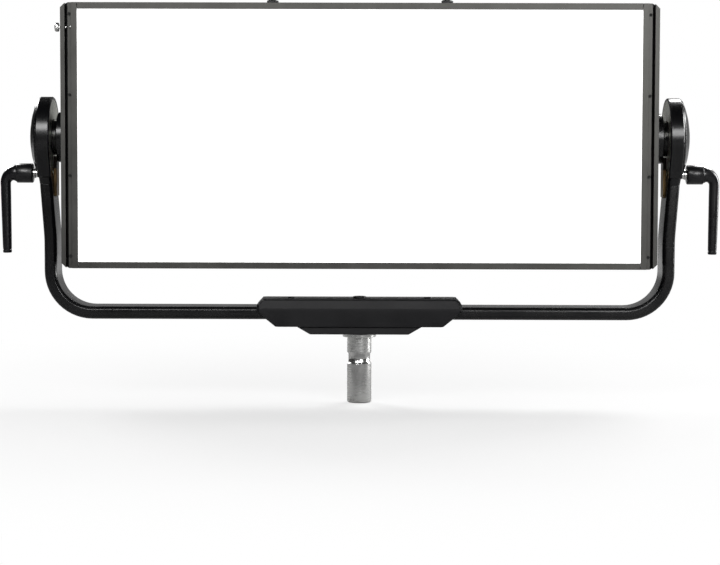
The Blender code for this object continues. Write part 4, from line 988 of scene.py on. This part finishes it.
# ------------------------------------------------------ stage, light and camera
def make_floor():
    """Pale round floor that fades to white around it.

    To light and reflections it is dim, and bright only far behind.
    """
    fade_start, fade_end, fade_low = 0.15, 0.90, 0.62
    bright_start, bright_end, bright_most = 0.6, 1.8, 0.55
    cloud_size, dim_shade = 0.30, (0.20, 0.20, 0.20, 1.0)
    made = bpy.data.materials.new("studio_floor")
    made.use_nodes = True
    tree = made.node_tree
    shader = tree.nodes["Principled BSDF"]
    place = add(tree, "TexCoord").outputs["Object"]
    far = tree.nodes.new("ShaderNodeVectorMath")
    far.operation = "LENGTH"
    tree.links.new(place, far.inputs[0])
    fade = spread(tree, far.outputs["Value"], fade_low, 1.0, fade_start, fade_end)
    cloud = spread(tree, noise(tree, cloud_size), 0.0, 1.0, *CLOUD)
    paint = blend(tree, cloud, (0.42, 0.42, 0.42), (0.44, 0.44, 0.44))
    tree.links.new(paint, shader.inputs["Base Color"])
    shader.inputs["Roughness"].default_value = 0.7
    glow = add(tree, "Emission", Color=WHITE, Strength=1.0)
    dim = add(tree, "BsdfDiffuse", Color=dim_shade)
    behind = add(tree, "SeparateXYZ", Vector=place).outputs["Y"]
    away = spread(tree, behind, 0.0, bright_most, bright_start, bright_end)
    lit = add(tree, "MixShader", Fac=away)
    seen = add(tree, "LightPath").outputs["Is Camera Ray"]
    pale = add(tree, "MixShader", Fac=fade)
    floor_shader = add(tree, "MixShader", Fac=seen)
    tree.links.new(shader.outputs[0], pale.inputs[1])
    tree.links.new(glow.outputs[0], pale.inputs[2])
    tree.links.new(dim.outputs[0], lit.inputs[1])
    tree.links.new(glow.outputs[0], lit.inputs[2])
    tree.links.new(lit.outputs[0], floor_shader.inputs[1])
    tree.links.new(pale.outputs[0], floor_shader.inputs[2])
    tree.links.new(floor_shader.outputs[0], tree.nodes["Material Output"].inputs["Surface"])
    shape = bmesh.new()
    bmesh.ops.create_circle(shape, cap_ends=True, radius=FLOOR_RADIUS, segments=96)
    mesh = bpy.data.meshes.new("floor")
    shape.to_mesh(mesh)
    shape.free()
    mesh.materials.append(made)
    floor = bpy.data.objects.new("floor", mesh)
    floor.location.z = cad_box[0].z - FLOOR_DROP
    bpy.context.scene.collection.objects.link(floor)


def soft_light(name, place, target, size, power):
    """A rectangular light that the camera doesn't see, turned to a point."""
    data = bpy.data.lights.new(name, "AREA")
    data.shape = "RECTANGLE"
    data.size, data.size_y = size
    data.energy = power
    made = bpy.data.objects.new(name, data)
    made.location = place
    made.rotation_euler = (Vector(target) - Vector(place)).to_track_quat("-Z", "Y").to_euler()
    made.visible_camera = False
    bpy.context.scene.collection.objects.link(made)


def make_world():
    """White to look at, and to the lamp's surfaces a white backdrop behind it in a dim room."""
    backdrop_start, backdrop_full = 0.60, 0.90
    backdrop_left, backdrop_left_full = -0.30, -0.12
    backdrop_strength, top_start, top_end = 0.30, 0.15, 0.40
    room = 0.02
    world = bpy.data.worlds.new("studio")
    bpy.context.scene.world = world
    world.use_nodes = True
    tree = world.node_tree
    surround = tree.nodes["Background"]
    parts = add(tree, "SeparateXYZ", Vector=add(tree, "TexCoord").outputs["Generated"])
    behind = spread(tree, parts.outputs["Y"], 0.0, 1.0, backdrop_start, backdrop_full)
    inside = spread(tree, parts.outputs["X"], 0.0, 1.0, backdrop_left, backdrop_left_full)
    below_top = spread(tree, parts.outputs["Z"], backdrop_strength, 0.0, top_start, top_end)
    backdrop = calculate(tree, "MULTIPLY", calculate(tree, "MULTIPLY", behind, inside), below_top)
    tree.links.new(calculate(tree, "ADD", backdrop, room), surround.inputs["Strength"])
    surround.inputs["Color"].default_value = WHITE
    white = add(tree, "Background", Color=WHITE, Strength=1.0)
    seen = add(tree, "LightPath").outputs["Is Camera Ray"]
    mix = add(tree, "MixShader", Fac=seen)
    tree.links.new(surround.outputs[0], mix.inputs[1])
    tree.links.new(white.outputs[0], mix.inputs[2])
    tree.links.new(mix.outputs[0], tree.nodes["World Output"].inputs["Surface"])


def make_camera():
    """Straight in front at the pivots' height, looking a little down."""
    data = bpy.data.cameras.new("camera")
    data.lens = CAMERA_LENS
    data.sensor_width = 36.0
    data.clip_start = 0.05
    made = bpy.data.objects.new("camera", data)
    yaw = Matrix.Rotation(CAMERA_YAW, 4, "Z")
    pitch = Matrix.Rotation(QUARTER + CAMERA_PITCH, 4, "X")
    roll = Matrix.Rotation(CAMERA_ROLL, 4, "Z")
    made.matrix_world = Matrix.Translation(CAMERA_PLACE) @ (yaw @ pitch @ roll)
    bpy.context.scene.collection.objects.link(made)
    bpy.context.scene.camera = made


def make_stage():
    make_floor()
    make_world()
    for name, (place, size, power) in LIGHTS.items():
        soft_light(name, place, LIT_POINT, size, power)
    make_camera()
    bpy.context.scene.view_settings.view_transform = "Standard"


# ---------------------------------------------------------------------- build
def build():
    dress_nodes()
    make_spigot()
    make_casting_screws()
    make_latch()
    for label, side in SIDES.items():
        make_hub(label, side)
        make_lock_screw(label, side)
        make_lever(label, side)
        make_rail_screws(label)
        make_top_screw(label)
        make_handle(label)
    for label in ("a", "b"):
        make_knob(label)
        make_dial_ticks(label)
        make_button(label)
    make_rear_screws()
    make_power_pins()
    make_control_pins()
    make_network_contacts()
    make_screen()
    make_stage()


build()
